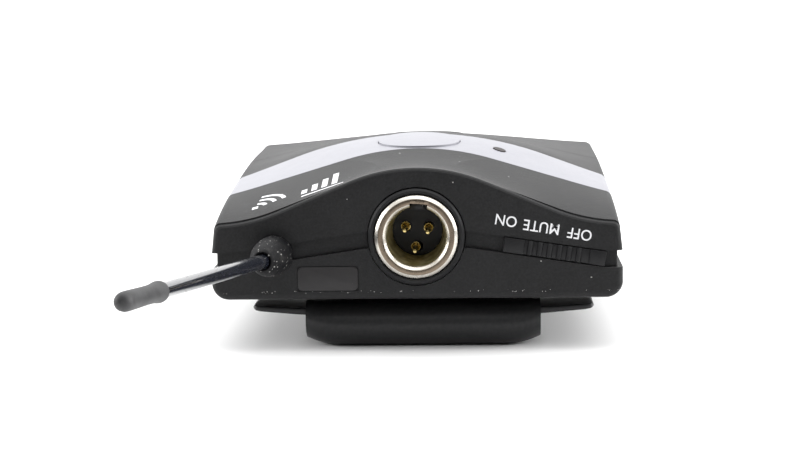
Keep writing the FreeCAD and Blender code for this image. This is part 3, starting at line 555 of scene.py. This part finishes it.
def lathe(profile, place, direction, steps=96, closed=False):
    """A bmesh turned about a line: profile is (distance along, radius) pairs."""
    place, axis = Vector(place), Vector(direction).normalized()
    reference = axis.orthogonal()
    rings = [circle(place + axis * along, axis, radius, steps, reference) for along, radius in profile]
    if closed:
        rings.append([point.copy() for point in rings[0]])
    form = skin(rings, caps=False)
    bmesh.ops.remove_doubles(form, verts=form.verts, dist=0.002 * MM)
    return form


def sweep(path, radii, steps=32, reference=(0, 0, 1)):
    """A round rod along a path of points, with a radius at each."""
    path = [Vector(point) for point in path]
    ends = zip([path[0]] + path[:-1], path[1:] + [path[-1]])
    rings = [circle(point, after - before, radius, steps, reference)
             for point, radius, (before, after) in zip(path, radii, ends)]
    return skin(rings)


def smooth_path(corners, pieces):
    """Points along a curve through the corners, evenly shared between them."""
    corners = [Vector(corner) for corner in corners]
    corners = [2 * corners[0] - corners[1], *corners, 2 * corners[-1] - corners[-2]]
    points = []
    for p, q, r, t in zip(corners, corners[1:], corners[2:], corners[3:]):
        for i in range(pieces):
            u = i / pieces
            points.append(0.5 * (2 * q + (r - p) * u + (2 * p - 5 * q + 4 * r - t) * u ** 2
                                 + (3 * q - p - 3 * r + t) * u ** 3))
    return points + [corners[-2]]


def baked(obj, name, sharp=38.0):
    """The object's mesh with its modifiers applied, as a new mesh; the object is removed."""
    depsgraph = bpy.context.evaluated_depsgraph_get()
    mesh = bpy.data.meshes.new_from_object(obj.evaluated_get(depsgraph), depsgraph=depsgraph)
    bpy.data.objects.remove(obj)
    return mesh_of(as_form(mesh), name, sharp)


def loose(form):
    """An unfinished object of a bmesh, for modifiers to work on."""
    bmesh.ops.recalc_face_normals(form, faces=form.faces)
    return added("tool", as_mesh(form, "tool"))


def edged(form, name, width, segments=3, cutters=()):
    """A mesh with the cutters taken away and its edges rounded."""
    obj = loose(form)
    for cutter in cutters:
        cut = obj.modifiers.new("cut", "BOOLEAN")
        cut.object = cutter
        cut.solver = "EXACT"
    bevel = obj.modifiers.new("edges", "BEVEL")
    bevel.width = width
    bevel.segments = segments
    bevel.limit_method = "ANGLE"
    bevel.angle_limit = math.radians(32)
    bevel.use_clamp_overlap = True
    mesh = baked(obj, name)
    for cutter in cutters:
        bpy.data.objects.remove(cutter)
    return mesh


def block(low, high):
    """A bmesh box between two corners."""
    form = bmesh.new()
    bmesh.ops.create_cube(form, size=1.0)
    low, high = Vector(low), Vector(high)
    for vert in form.verts:
        vert.co = Vector((low[i] + (vert.co[i] + 0.5) * (high[i] - low[i]) for i in range(3)))
    return form


def joined(forms):
    """Several bmeshes as one."""
    whole = bmesh.new()
    for form in forms:
        mesh = as_mesh(form, "part")
        whole.from_mesh(mesh)
        bpy.data.meshes.remove(mesh)
    return whole


def surface_of(*nodes):
    """A search tree over CAD nodes' faces, in the frame's metres."""
    verts, faces = [], []
    for node in nodes:
        obj = NODES[node]
        first = len(verts)
        verts += [obj.matrix_world @ vert.co for vert in obj.data.vertices]
        faces += [[first + i for i in polygon.vertices] for polygon in obj.data.polygons]
    return BVHTree.FromPolygons(verts, faces)


def laid_on(form, surface, direction, lift):
    """Moves a flat bmesh along a direction onto a surface, standing off by the lift."""
    direction = Vector(direction)
    for vert in form.verts:
        place = surface.ray_cast(vert.co - direction * 50 * MM, direction)[0]
        if place is None:
            raise ValueError("print runs off the case")
        vert.co = place - direction * lift
    return form


def row_tree():
    """Geometry nodes that repeat the mesh along a step."""
    name = "row_of_copies"
    if name in bpy.data.node_groups:
        return bpy.data.node_groups[name]
    group = bpy.data.node_groups.new(name, "GeometryNodeTree")
    group.interface.new_socket("Geometry", in_out="INPUT", socket_type="NodeSocketGeometry")
    for label, kind in (("Count", "NodeSocketInt"), ("Step", "NodeSocketVector"),
                        ("Material", "NodeSocketMaterial")):
        group.interface.new_socket(label, in_out="INPUT", socket_type=kind)
    group.interface.new_socket("Geometry", in_out="OUTPUT", socket_type="NodeSocketGeometry")
    made = {kind: group.nodes.new(kind) for kind in (
        "NodeGroupInput", "GeometryNodeMeshLine", "GeometryNodeInstanceOnPoints",
        "GeometryNodeRealizeInstances", "GeometryNodeSetMaterial", "NodeGroupOutput")}
    entry, line, copies, real, paint, leave = made.values()
    for out, into in (
            (entry.outputs["Count"], line.inputs["Count"]),
            (entry.outputs["Step"], line.inputs["Offset"]),
            (line.outputs[0], copies.inputs["Points"]),
            (entry.outputs["Geometry"], copies.inputs["Instance"]),
            (copies.outputs[0], real.inputs[0]),
            (real.outputs[0], paint.inputs["Geometry"]),
            (entry.outputs["Material"], paint.inputs["Material"]),
            (paint.outputs[0], leave.inputs[0])):
        group.links.new(out, into)
    return group


def row(form, count, step, finish_name):
    """A bmesh of copies of a bmesh in a straight row."""
    obj = loose(form)
    copier = obj.modifiers.new("row", "NODES")
    copier.node_group = row_tree()
    values = {"Count": count, "Step": Vector(step), "Material": finish(finish_name)}
    for item in copier.node_group.interface.items_tree:
        if item.item_type == "SOCKET" and item.in_out == "INPUT" and item.name in values:
            copier[item.identifier] = values[item.name]
    copies = as_form(baked(obj, "row"))
    if not copies.verts:
        raise ValueError("the row is empty")
    return copies


# ------------------------------------------------------------------ settings
class BODYPACK_PG_settings(bpy.types.PropertyGroup):
    """Sizes and colours that a user would change."""

    shell_colour: bpy.props.FloatVectorProperty(
        name="Shell", description="Colour of the moulded case", subtype="COLOR",
        default=(0.0036, 0.0036, 0.0040), min=0.0, max=1.0)
    band_colour: bpy.props.FloatVectorProperty(
        name="Band", description="Colour of the silver band", subtype="COLOR",
        default=(0.365, 0.365, 0.402), min=0.0, max=1.0)
    print_colour: bpy.props.FloatVectorProperty(
        name="Print", description="Colour of the printed words", subtype="COLOR",
        default=(0.82, 0.82, 0.84), min=0.0, max=1.0)
    word_height: bpy.props.FloatProperty(
        name="Word height", description="Height of the switch's words", unit="LENGTH",
        default=1.62 * MM, min=0.5 * MM, max=4 * MM)


# ------------------------------------------------------------------ operators
class BODYPACK_OT_finishes(bpy.types.Operator):
    """Give every part of the frame its finish"""

    bl_idname = "bodypack.finishes"
    bl_label = "Finishes"

    def execute(self, context):
        for name, (_, _, nodes) in FINISHES.items():
            for node in nodes.split():
                dress(NODES[node], name)
        return {"FINISHED"}


class BODYPACK_OT_socket(bpy.types.Operator):
    """Turn the microphone socket's shell, with its key way"""

    bl_idname = "bodypack.socket"
    bl_label = "Socket"

    def execute(self, context):
        turned = math.radians(4.5)
        centre = Vector((SOCKET.x, MOUTH_Y, SOCKET.z))
        place = Matrix.Translation(centre) @ Matrix.Rotation(turned, 4, "Y")
        way = loose(self.key_block(place, -1.0, 3.0, 3.2))
        mesh = edged(self.shell(centre), "mini_socket_shell", 0.035 * MM, 2, [way])
        new_piece("mini_socket_shell", mesh, "bright_nickel", "case", "socket_shell",
                  slot="bright_nickel")
        key = mesh_of(self.key_block(place, 2.4, 3.7, 3.1), "socket_key")
        new_piece("socket_key", key, "black_nylon", "case", slot="black_nylon")
        pins = self.pins()
        pins.transform(place)
        new_piece("mini_socket_pins", mesh_of(pins, "mini_socket_pins"), "gold_plate", "case",
                  "contact_pins", slot="gold_plate")
        return {"FINISHED"}

    @staticmethod
    def shell(centre):
        """The shell's section, mouth first: its flat lip, round rim, barrel, seat and bore."""
        profile = [(0.0, 4.92), (0.0, 5.52), (0.07, 5.62), (0.40, 6.02), (0.52, 6.12), (0.66, 6.15),
                   (2.2, 6.15), (8.8, 6.15), (8.8, 3.72), (7.6, 3.76), (1.75, 4.28), (0.50, 4.36),
                   (0.38, 4.42), (0.06, 4.84)]
        return lathe(metres(profile), centre, (0, 1, 0), closed=True)

    @staticmethod
    def key_block(place, front, low, back):
        """A block as wide as the key, above the bore, between two depths behind the mouth."""
        half, top = 1.29, 4.88
        form = block(Vector((-half, front, low)) * MM, Vector((half, back, top)) * MM)
        form.transform(place)
        return form

    @staticmethod
    def pins():
        """Three round-nosed pins, each in a rolled collar on the insert's face."""
        face, ring_radius, drop = 8.6, 1.95, Vector((-0.10, 0, -0.40))
        profile = [(face + 0.3, 0.74), (face - 0.10, 0.74), (face - 0.24, 0.68), (face - 0.26, 0.60),
                   (face - 0.20, 0.50), (face - 0.05, 0.46), (face - 0.02, 0.38), (3.4, 0.38),
                   (2.75, 0.34), (2.5, 0.24), (2.42, 0.0)]
        forms = []
        for angle in (-90, 30, 150):
            turn = math.radians(angle)
            spot = drop + Vector((math.cos(turn), 0, math.sin(turn))) * ring_radius
            forms.append(lathe(metres(profile), spot * MM, (0, 1, 0), steps=36))
        return joined(forms)


class BODYPACK_OT_antenna(bpy.types.Operator):
    """Draw the bent boot, the whip and the sleeve on its end"""

    bl_idname = "bodypack.antenna"
    bl_label = "Antenna"

    def execute(self, context):
        wall = Vector((BOOT.x, NEAR_Y, BOOT.z))
        mouth = wall + Vector((-0.95, -7.75, -0.02)) * MM
        heading = Vector((-10.6, -62.4, 3.3)).normalized()
        self.whip(wall, mouth, heading)
        self.boot(wall, mouth, heading)
        self.sleeve(mouth + heading * 47.6 * MM, heading)
        return {"FINISHED"}

    @staticmethod
    def whip(wall, mouth, heading):
        """The rod: from its terminal, round inside the boot and straight out of its mouth."""
        corners = [wall + Vector((0, 9.4, 0)) * MM, wall + Vector((0, 2, 0)) * MM,
                   mouth - heading * 3.2 * MM]
        straight, steps, radius = 54.0 * MM, 24, 1.05 * MM
        path = smooth_path(corners, 8)
        path += [mouth + heading * (straight * i / steps) for i in range(steps + 1)]
        rod = mesh_of(sweep(path, [radius] * len(path), 40), "antenna_whip_rod")
        obj = new_piece("antenna_whip_rod", rod, "whip_coating", None, "antenna_root", "antenna_whip",
                        slot="whip_coating")
        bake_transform(obj)

    @staticmethod
    def boot(wall, mouth, heading):
        """A rubber dome that leans towards the whip, hollow where the whip leaves it."""
        outline = [(2.30, 2.0), (3.05, 1.9), (3.05, 3.2), (2.30, 3.4)]
        flange = [(wall + Vector((0, y, 0)) * MM, (0, -1, 0), r * MM) for r, y in outline[::-1]]
        dome = []
        for along, radius in ((0.02, 2.45), (0.0, 2.82), (0.12, 2.86), (0.34, 2.84), (0.52, 2.72),
                              (0.68, 2.50), (0.80, 2.24), (0.89, 1.98), (0.95, 1.76), (0.985, 1.58),
                              (1.0, 1.42), (0.992, 1.27), (0.95, 1.17), (0.80, 1.12), (0.55, 1.10)):
            lean = Vector(((mouth.x - wall.x) * along ** 1.7, 0, 0))
            place = wall.lerp(Vector((wall.x, mouth.y, wall.z)), along) + lean
            turn = Vector((0, -1, 0)).lerp(heading, min(1.0, along * 1.1))
            dome.append((place, turn, radius * MM))
        rings = [circle(place, turn, radius, 64) for place, turn, radius in flange + dome]
        mesh = mesh_of(skin(rings, caps=False), "antenna_boot_dome", 50)
        new_piece("antenna_boot_dome", mesh, "dusty_rubber", "case", "antenna_boot", slot="dusty_rubber")

    @staticmethod
    def sleeve(start, heading):
        """The sleeve on the whip's end: a flared mouth, a slim waist and a round nose."""
        profile = [(0.3, 1.08), (0.05, 1.13), (0.0, 1.20), (0.12, 1.28), (0.40, 1.36), (0.9, 1.39),
                   (1.5, 1.35), (2.4, 1.25), (3.6, 1.19), (6.0, 1.17), (12.6, 1.24), (13.5, 1.22),
                   (14.1, 1.12), (14.5, 0.92), (14.75, 0.62), (14.86, 0.30), (14.88, 0.0)]
        form = lathe(metres(profile), start, heading, steps=56)
        new_piece("antenna_tip_sleeve", mesh_of(form, "antenna_tip_sleeve", 60), "tip_plastic", "whip",
                  "antenna_tip", slot="tip_plastic")


class BODYPACK_OT_switch(bpy.types.Operator):
    """Mould the sliding cap with its row of ribs, and print its words"""

    bl_idname = "bodypack.switch"
    bl_label = "Switch"

    def execute(self, context):
        slide = -Vector(JOINTS["switch_slide"]["axis"]).normalized()
        turn = Matrix(((slide.x, 0, abs(slide.z)), (0, 1, 0), (-abs(slide.z), 0, slide.x))).to_4x4()
        place = Matrix.Translation(Vector((CAP.x + 0.02 * MM, NEAR_Y, CAP.z))) @ turn
        form = self.cap()
        form.transform(place)
        new_piece("switch_cap_ribbed", mesh_of(form, "switch_cap_ribbed"), "black_nylon", "cap",
                  "switch_cap", slot="black_nylon")
        self.words(context.scene.bodypack.word_height)
        return {"FINISHED"}

    def cap(self):
        """The cap about its own middle: a slab with a raised pad at each end and ribs between."""
        half, tall = 7.47 * MM, 1.07 * MM
        slab = block((-half, 0.05 * MM, -tall), (half, 0.74 * MM, tall))
        pads = [block((low, -0.29 * MM, -tall), (high, 0.2 * MM, tall))
                for low, high in ((-half, -4.55 * MM), (5.15 * MM, half))]
        stem = block((-1.8 * MM, 0.6 * MM, -0.62 * MM), (1.8 * MM, 4.6 * MM, 0.62 * MM))
        first, pitch, count = -3.60 * MM, 1.43 * MM, 6
        rib = self.rib(tall)
        rib.transform(Matrix.Translation((first, 0, 0)))
        ribs = row(rib, count, (pitch, 0, 0), "black_nylon")
        body = as_form(edged(joined([slab, *pads, stem]), "cap", 0.09 * MM, 3))
        return joined([body, ribs])

    @staticmethod
    def rib(tall):
        """One rounded rib across the cap."""
        outline = [(0.46, 0.10), (0.40, -0.02), (0.30, -0.20), (0.17, -0.28), (0.0, -0.30),
                   (-0.17, -0.28), (-0.30, -0.20), (-0.40, -0.02), (-0.46, 0.10)]
        rings = [[Vector((x * MM * keep, y * MM + drop, z)) for x, y in outline]
                 for z, keep, drop in ((-tall, 0.86, 0.07 * MM), (-tall + 0.09 * MM, 1.0, 0.0),
                                       (tall - 0.09 * MM, 1.0, 0.0), (tall, 0.86, 0.07 * MM))]
        return skin(rings)

    @staticmethod
    def words(height):
        """OFF, MUTE and ON, upside down to a viewer of the socket, in thin raised ink."""
        surface = surface_of("front_case")
        forms = []
        places = (("ON", 13.09, 19.21, 10.2), ("MUTE", 18.25, 18.21, 9.2), ("OFF", 23.77, 17.14, 9.6))
        for word, x, z, lean in places:
            curve = bpy.data.curves.new(word, "FONT")
            curve.body = word
            curve.align_x = "CENTER"
            curve.align_y = "CENTER"
            curve.size = height * 1.38
            curve.space_character = 1.02
            curve.offset = 0.014 * MM
            curve.resolution_u = 6
            form = as_form(baked(added(word, curve), word))
            bpy.data.curves.remove(curve)
            bmesh.ops.triangulate(form, faces=form.faces)
            upright = Matrix.Rotation(math.radians(90), 4, "X")
            around = Matrix.Rotation(math.radians(180 + lean), 4, "Y")
            narrow = Matrix.Diagonal((0.92, 1.0, 1.0, 1.0))
            form.transform(Matrix.Translation((x * MM, NEAR_Y, z * MM)) @ around @ upright @ narrow)
            forms.append(laid_on(form, surface, (0, 1, 0), 0.03 * MM))
        new_piece("switch_words", ink(joined(forms), "switch_words", (0, -1, 0)), "white_print", "case")


def ink(form, name, facing):
    """Print as a mesh whose faces look the given way."""
    facing = Vector(facing)
    form.normal_update()
    for face in form.faces:
        if face.normal.dot(facing) < 0:
            face.normal_flip()
    return as_mesh(form, name)


class BODYPACK_OT_emblem(bpy.types.Operator):
    """Print a plain mark of spreading arcs and level bars on the front"""

    bl_idname = "bodypack.emblem"
    bl_label = "Emblem"

    def execute(self, context):
        forms = []
        source = Vector((-23.9, 4.4))
        for radius in (1.5, 2.9, 4.3):
            turns = [math.radians(8 + 74 * i / 20) for i in range(21)]
            arc = [source + Vector((math.cos(t), math.sin(t))) * radius for t in turns]
            forms.append(self.stroke(arc, 0.62))
        forms.append(self.stroke([source + Vector((-0.45, 0)), source + Vector((0.45, 0))], 0.9))
        for i, tall in enumerate((1.8, 3.0, 4.2, 5.4)):
            left = -16.6 + 1.5 * i
            forms.append(self.stroke([Vector((left, 3.9 + tall * j / 8)) for j in range(9)], 0.85))
        level = [Vector((-16.9 + 6.2 * i / 12, 2.7)) for i in range(13)]
        forms.append(self.stroke(level, 0.5))
        form = laid_on(joined(forms), surface_of("front_case"), (0, 0, -1), 0.03 * MM)
        new_piece("printed_mark", ink(form, "printed_mark", (0, 0, 1)), "white_print", "case")
        return {"FINISHED"}

    @staticmethod
    def stroke(points, width):
        """A flat ribbon along points across the front, from millimetres behind its near edge."""
        rings = []
        for before, point, after in zip([points[0]] + points, points, points[1:] + [points[-1]]):
            heading = (after - before).normalized()
            side = Vector((-heading.y, heading.x)) * width / 2
            rings.append([Vector((at.x * MM, NEAR_Y + at.y * MM, BACK_Z + 25 * MM))
                          for at in (point - side, point, point + side)])
        return skin(rings, closed_ring=False)


class BODYPACK_OT_clip(bpy.types.Operator):
    """Bend the belt clip in one piece, with its tapered ears"""

    bl_idname = "bodypack.clip"
    bl_label = "Clip"

    def execute(self, context):
        strip = edged(self.strip(), "belt_clip", 0.30 * MM, 3, self.screw_seats())
        obj = new_piece("belt_clip", strip, "black_steel", None, "clip_bracket", "clip_tongue",
                        slot="black_steel")
        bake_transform(obj)
        for side, name in ((-1, "left"), (1, "right")):
            mesh = edged(self.ear(side), f"clip_ear_{name}", 0.22 * MM, 3)
            new_piece(f"clip_ear_{name}", mesh, "black_steel", "case", slot="black_steel")
        return {"FINISHED"}

    @staticmethod
    def strip():
        """A hairpin of sheet, its lower front corners drawn in and up."""
        top, thick = span("clip_bracket")[1].z, 1.2 * MM
        outer = top / 2
        front = span("clip_bracket")[0].y
        back = span("clip_bracket")[1].y
        tip = span("clip_tongue")[1].y

        def bend(radius, start, end, steps=14):
            turns = [math.radians(start + (end - start) * i / steps) for i in range(steps + 1)]
            return [(front + outer - radius * math.cos(t), outer + radius * math.sin(t)) for t in turns]

        flat = tip - 8.7 * MM
        lip = [(flat, 0), (flat + 2.2 * MM, 0.55 * MM), (flat + 4.2 * MM, 1.70 * MM),
               (tip - 3.4 * MM, 2.46 * MM), (tip - 1.4 * MM, 2.14 * MM), (tip - 0.1 * MM, 1.52 * MM)]
        inner_lip = [(y - 0.35 * MM * (i < 3), z + thick * (0.98 if i < 5 else 0.9))
                     for i, (y, z) in enumerate(lip)]
        outside = [(back, top)] + bend(outer, 90, -90) + lip
        inside = [(back, top - thick)] + bend(outer - thick, 90, -90) + inner_lip
        half = 17.45 * MM
        rings = []
        for i in range(41):
            u = math.sin(math.pi / 2 * (i / 20 - 1))
            pull = max(0.0, (abs(u) - 0.70) / 0.30) ** 2.0
            tipped = max(0.0, (abs(u) - 0.80) / 0.20) ** 2.2
            ring = []
            for y, z in outside + inside[::-1]:
                near = max(0.0, 1.0 - (y - front) / (9 * MM))
                z = top - (top - z) * (1 - 0.27 * pull * near)
                y = y + 1.5 * MM * pull * near
                y = y - 2.6 * MM * tipped * max(0.0, 1.0 - (tip - y) / (5 * MM))
                ring.append(Vector((CLIP_SHIFT + u * half, y, z)))
            rings.append(ring)
        return skin(rings)

    @staticmethod
    def screw_seats():
        """Tools for the two countersunk holes, over the screws."""
        high = span("clip_bracket")[1].z
        middle_y = middle("clip_screws").y
        profile = metres([(-0.1, 0.0), (-0.1, 1.2), (0.25, 1.2), (1.5, 2.4), (2.6, 2.4), (2.6, 0.0)])
        return [loose(lathe(profile, (x, middle_y, high), (0, 0, -1), 40)) for x in (-8 * MM, 8 * MM)]

    @staticmethod
    def ear(side):
        """A tab that rises and thins towards its tip, its root rolled down to the clip.

        Stations run outwards: distance from the middle, lower and upper height, corner inset.
        """
        stations = ((15.0, -3.35, -2.15, 0), (16.6, -3.25, -2.02, 0), (17.3, -3.06, -1.98, 0),
                    (18.6, -2.98, -2.02, 0), (21.5, -2.74, -1.86, 0), (24.2, -2.52, -1.70, 0.1),
                    (25.0, -2.40, -1.66, 0.5), (25.4, -2.18, -1.72, 1.3))
        front, deep = NEAR_Y + 5.4 * MM, 12.6 * MM
        rings = []
        for x, low, high, inset in stations:
            near, far = front + inset * MM, front + deep - inset * MM
            rings.append([Vector((side * x * MM + CLIP_SHIFT, y, BACK_Z + z * MM))
                          for y, z in ((near, low), (far, low), (far, high), (near, high))])
        return skin(rings)


class BODYPACK_OT_plaque(bpy.types.Operator):
    """Set the blank label plaque, with rounded corners, into the near face"""

    bl_idname = "bodypack.plaque"
    bl_label = "Plaque"

    def execute(self, context):
        low, high = span("label_plaque")
        radius = 0.75 * MM
        outline = []
        corners = ((high.x, high.z, 0), (low.x, high.z, 90), (low.x, low.z, 180), (high.x, low.z, 270))
        for x, z, start in corners:
            centre_x = x - math.copysign(radius, x - (low.x + high.x) / 2)
            centre_z = z - math.copysign(radius, z - (low.z + high.z) / 2)
            turns = [math.radians(start + 15 * i) for i in range(7)]
            outline += [(centre_x + radius * math.cos(t), centre_z + radius * math.sin(t)) for t in turns]
        rings = [[Vector((x, y, z)) for x, z in outline] for y in (low.y, high.y)]
        mesh = edged(skin(rings), "blank_plaque", 0.03 * MM, 2)
        new_piece("blank_plaque", mesh, "dark_label", "case", "label_plaque", slot="dark_label")
        return {"FINISHED"}


class BODYPACK_OT_spring(bpy.types.Operator):
    """Wind the battery's contact spring"""

    bl_idname = "bodypack.spring"
    bl_label = "Spring"

    def execute(self, context):
        low, high = span("contact_spring")
        centre = middle("contact_spring")
        radius, turns, wire = (high.z - low.z) / 2 - 0.35 * MM, 5.5, 0.32 * MM
        steps = int(turns * 28)
        path, radii = [], []
        for i in range(steps + 1):
            angle = 2 * math.pi * turns * i / steps
            x = low.x + wire + (high.x - low.x - 2 * wire) * i / steps
            path.append((x, centre.y + radius * math.cos(angle), centre.z + radius * math.sin(angle)))
            radii.append(wire)
        form = sweep(path, radii, 12, reference=(1, 0, 0))
        new_piece("contact_spring_coil", mesh_of(form, "contact_spring_coil", 70), "plated_steel", "case",
                  "contact_spring", slot="contact_nickel")
        return {"FINISHED"}


class BODYPACK_OT_door_grip(bpy.types.Operator):
    """Raise finger ridges on the battery door"""

    bl_idname = "bodypack.door_grip"
    bl_label = "Door grip"

    def execute(self, context):
        surface = surface_of("battery_door")
        first, pitch, count = span("battery_door")[1].y - 12 * MM, 1.5 * MM, 5

        def height(x, y):
            return surface.ray_cast(Vector((x, y, 0.05)), Vector((0, 0, -1)))[0].z

        step = Vector((0, pitch, height(0, first + pitch) - height(0, first)))
        spots = [(6.5 * MM * (i / 12 - 1)) for i in range(25)]
        path = [(x, first, height(x, first) - 0.12 * MM) for x in spots]
        radii = [0.34 * MM * (1 - abs(x / (6.9 * MM)) ** 6) for x in spots]
        form = row(sweep(path, radii, 14, reference=(0, 1, 0)), count, step, "black_shell")
        new_piece("door_finger_ridges", mesh_of(form, "door_finger_ridges", 60), "black_shell", "door")
        return {"FINISHED"}


def area_light(name, place, aim, size, power):
    """A white rectangular lamp at a place, turned to face a point."""
    data = bpy.data.lights.new(name, "AREA")
    data.shape = "RECTANGLE"
    data.size, data.size_y = size
    data.energy = power
    lamp = added(name, data)
    lamp.location = place
    lamp.rotation_euler = (Vector(aim) - Vector(place)).to_track_quat("-Z", "Y").to_euler()


def studio_world():
    """White to the camera; for the light, bright overhead and behind and dark low in front."""
    world = bpy.data.worlds.new("studio")
    bpy.context.scene.world = world
    world.use_nodes = True
    tree = Tree(world.node_tree)
    background = world.node_tree.nodes["Background"]
    _, y, z = tree.axes(tree.node("ShaderNodeTexCoord", output="Generated"))
    above = z.ramp(0.12, 0.60)
    behind = y.ramp(0.10, 0.80) * 1.42
    strength = above.largest(behind) * 0.95 + 0.03
    seen = tree.node("ShaderNodeLightPath", output="Is Camera Ray")
    world.node_tree.links.new(strength.largest(seen * 1.05).socket, background.inputs["Strength"])
    background.inputs["Color"].default_value = (1.0, 1.0, 1.0, 1.0)


class BODYPACK_OT_stage(bpy.types.Operator):
    """Set up the floor, the light and the camera"""

    bl_idname = "bodypack.stage"
    bl_label = "Stage"

    def execute(self, context):
        scene = context.scene
        form = bmesh.new()
        bmesh.ops.create_circle(form, cap_ends=True, segments=128, radius=0.44)
        form.transform(Matrix.Translation((0.0, 0.24, 0.0)))
        floor = added("floor", mesh_of(form, "floor"))
        floor.data.materials.append(material("pale_floor", self.paper))
        area_light("overhead", (0.05, 0.22, 0.80), (0, 0.1, 0), (1.5, 1.1), 8.4)
        for side in (-1, 1):
            area_light(f"side_panel_{side + 2}", (0.75 * side, 0.05, 0.30), (0, 0, 0), (0.5, 0.45), 5.4)
        studio_world()
        self.camera(scene)
        scene.view_settings.view_transform = "Standard"
        return {"FINISHED"}

    @staticmethod
    def paper(tree):
        """Nearly white, very slightly uneven."""
        return look(tree.mix(tree.noise(6.0), (0.90, 0.90, 0.90), (0.88, 0.88, 0.88)), 0.75)

    @staticmethod
    def camera(scene):
        """A long lens a third of a metre off, looking slightly down at the connector end."""
        data = bpy.data.cameras.new("camera")
        data.sensor_width = 36.0
        data.lens = 102.27
        data.clip_start = 0.01
        camera = added("camera", data)
        yaw, down, roll = (math.radians(angle) for angle in (2.15, 6.534, -0.74))
        turn = (Matrix.Rotation(yaw, 4, "Z") @ Matrix.Rotation(math.pi / 2 - down, 4, "X")
                @ Matrix.Rotation(roll, 4, "Z"))
        place = Vector((9.547 * MM, NEAR_Y - 326.629 * MM, BACK_Z + 47.637 * MM))
        camera.matrix_world = Matrix.Translation(place) @ turn
        scene.camera = camera


class BODYPACK_PT_panel(bpy.types.Panel):
    """The transmitter's settings and the steps that make it"""

    bl_label = "Bodypack"
    bl_idname = "BODYPACK_PT_panel"
    bl_space_type = "VIEW_3D"
    bl_region_type = "UI"
    bl_category = "Bodypack"

    def draw(self, context):
        settings = context.scene.bodypack
        for name in BODYPACK_PG_settings.__annotations__:
            self.layout.prop(settings, name)
        for operator in OPERATORS:
            self.layout.operator(operator.bl_idname)


OPERATORS = (
    BODYPACK_OT_stage,
    BODYPACK_OT_finishes,
    BODYPACK_OT_socket,
    BODYPACK_OT_antenna,
    BODYPACK_OT_switch,
    BODYPACK_OT_emblem,
    BODYPACK_OT_clip,
    BODYPACK_OT_plaque,
    BODYPACK_OT_spring,
    BODYPACK_OT_door_grip,
)
CLASSES = (BODYPACK_PG_settings, *OPERATORS, BODYPACK_PT_panel)


def register():
    for cls in CLASSES:
        bpy.utils.register_class(cls)
    bpy.types.Scene.bodypack = bpy.props.PointerProperty(type=BODYPACK_PG_settings)


def unregister():
    del bpy.types.Scene.bodypack
    for cls in reversed(CLASSES):
        bpy.utils.unregister_class(cls)


def main():
    register()
    for operator in OPERATORS:
        group, name = operator.bl_idname.split(".")
        getattr(getattr(bpy.ops, group), name)()


if __name__ == "__main__":
    main()
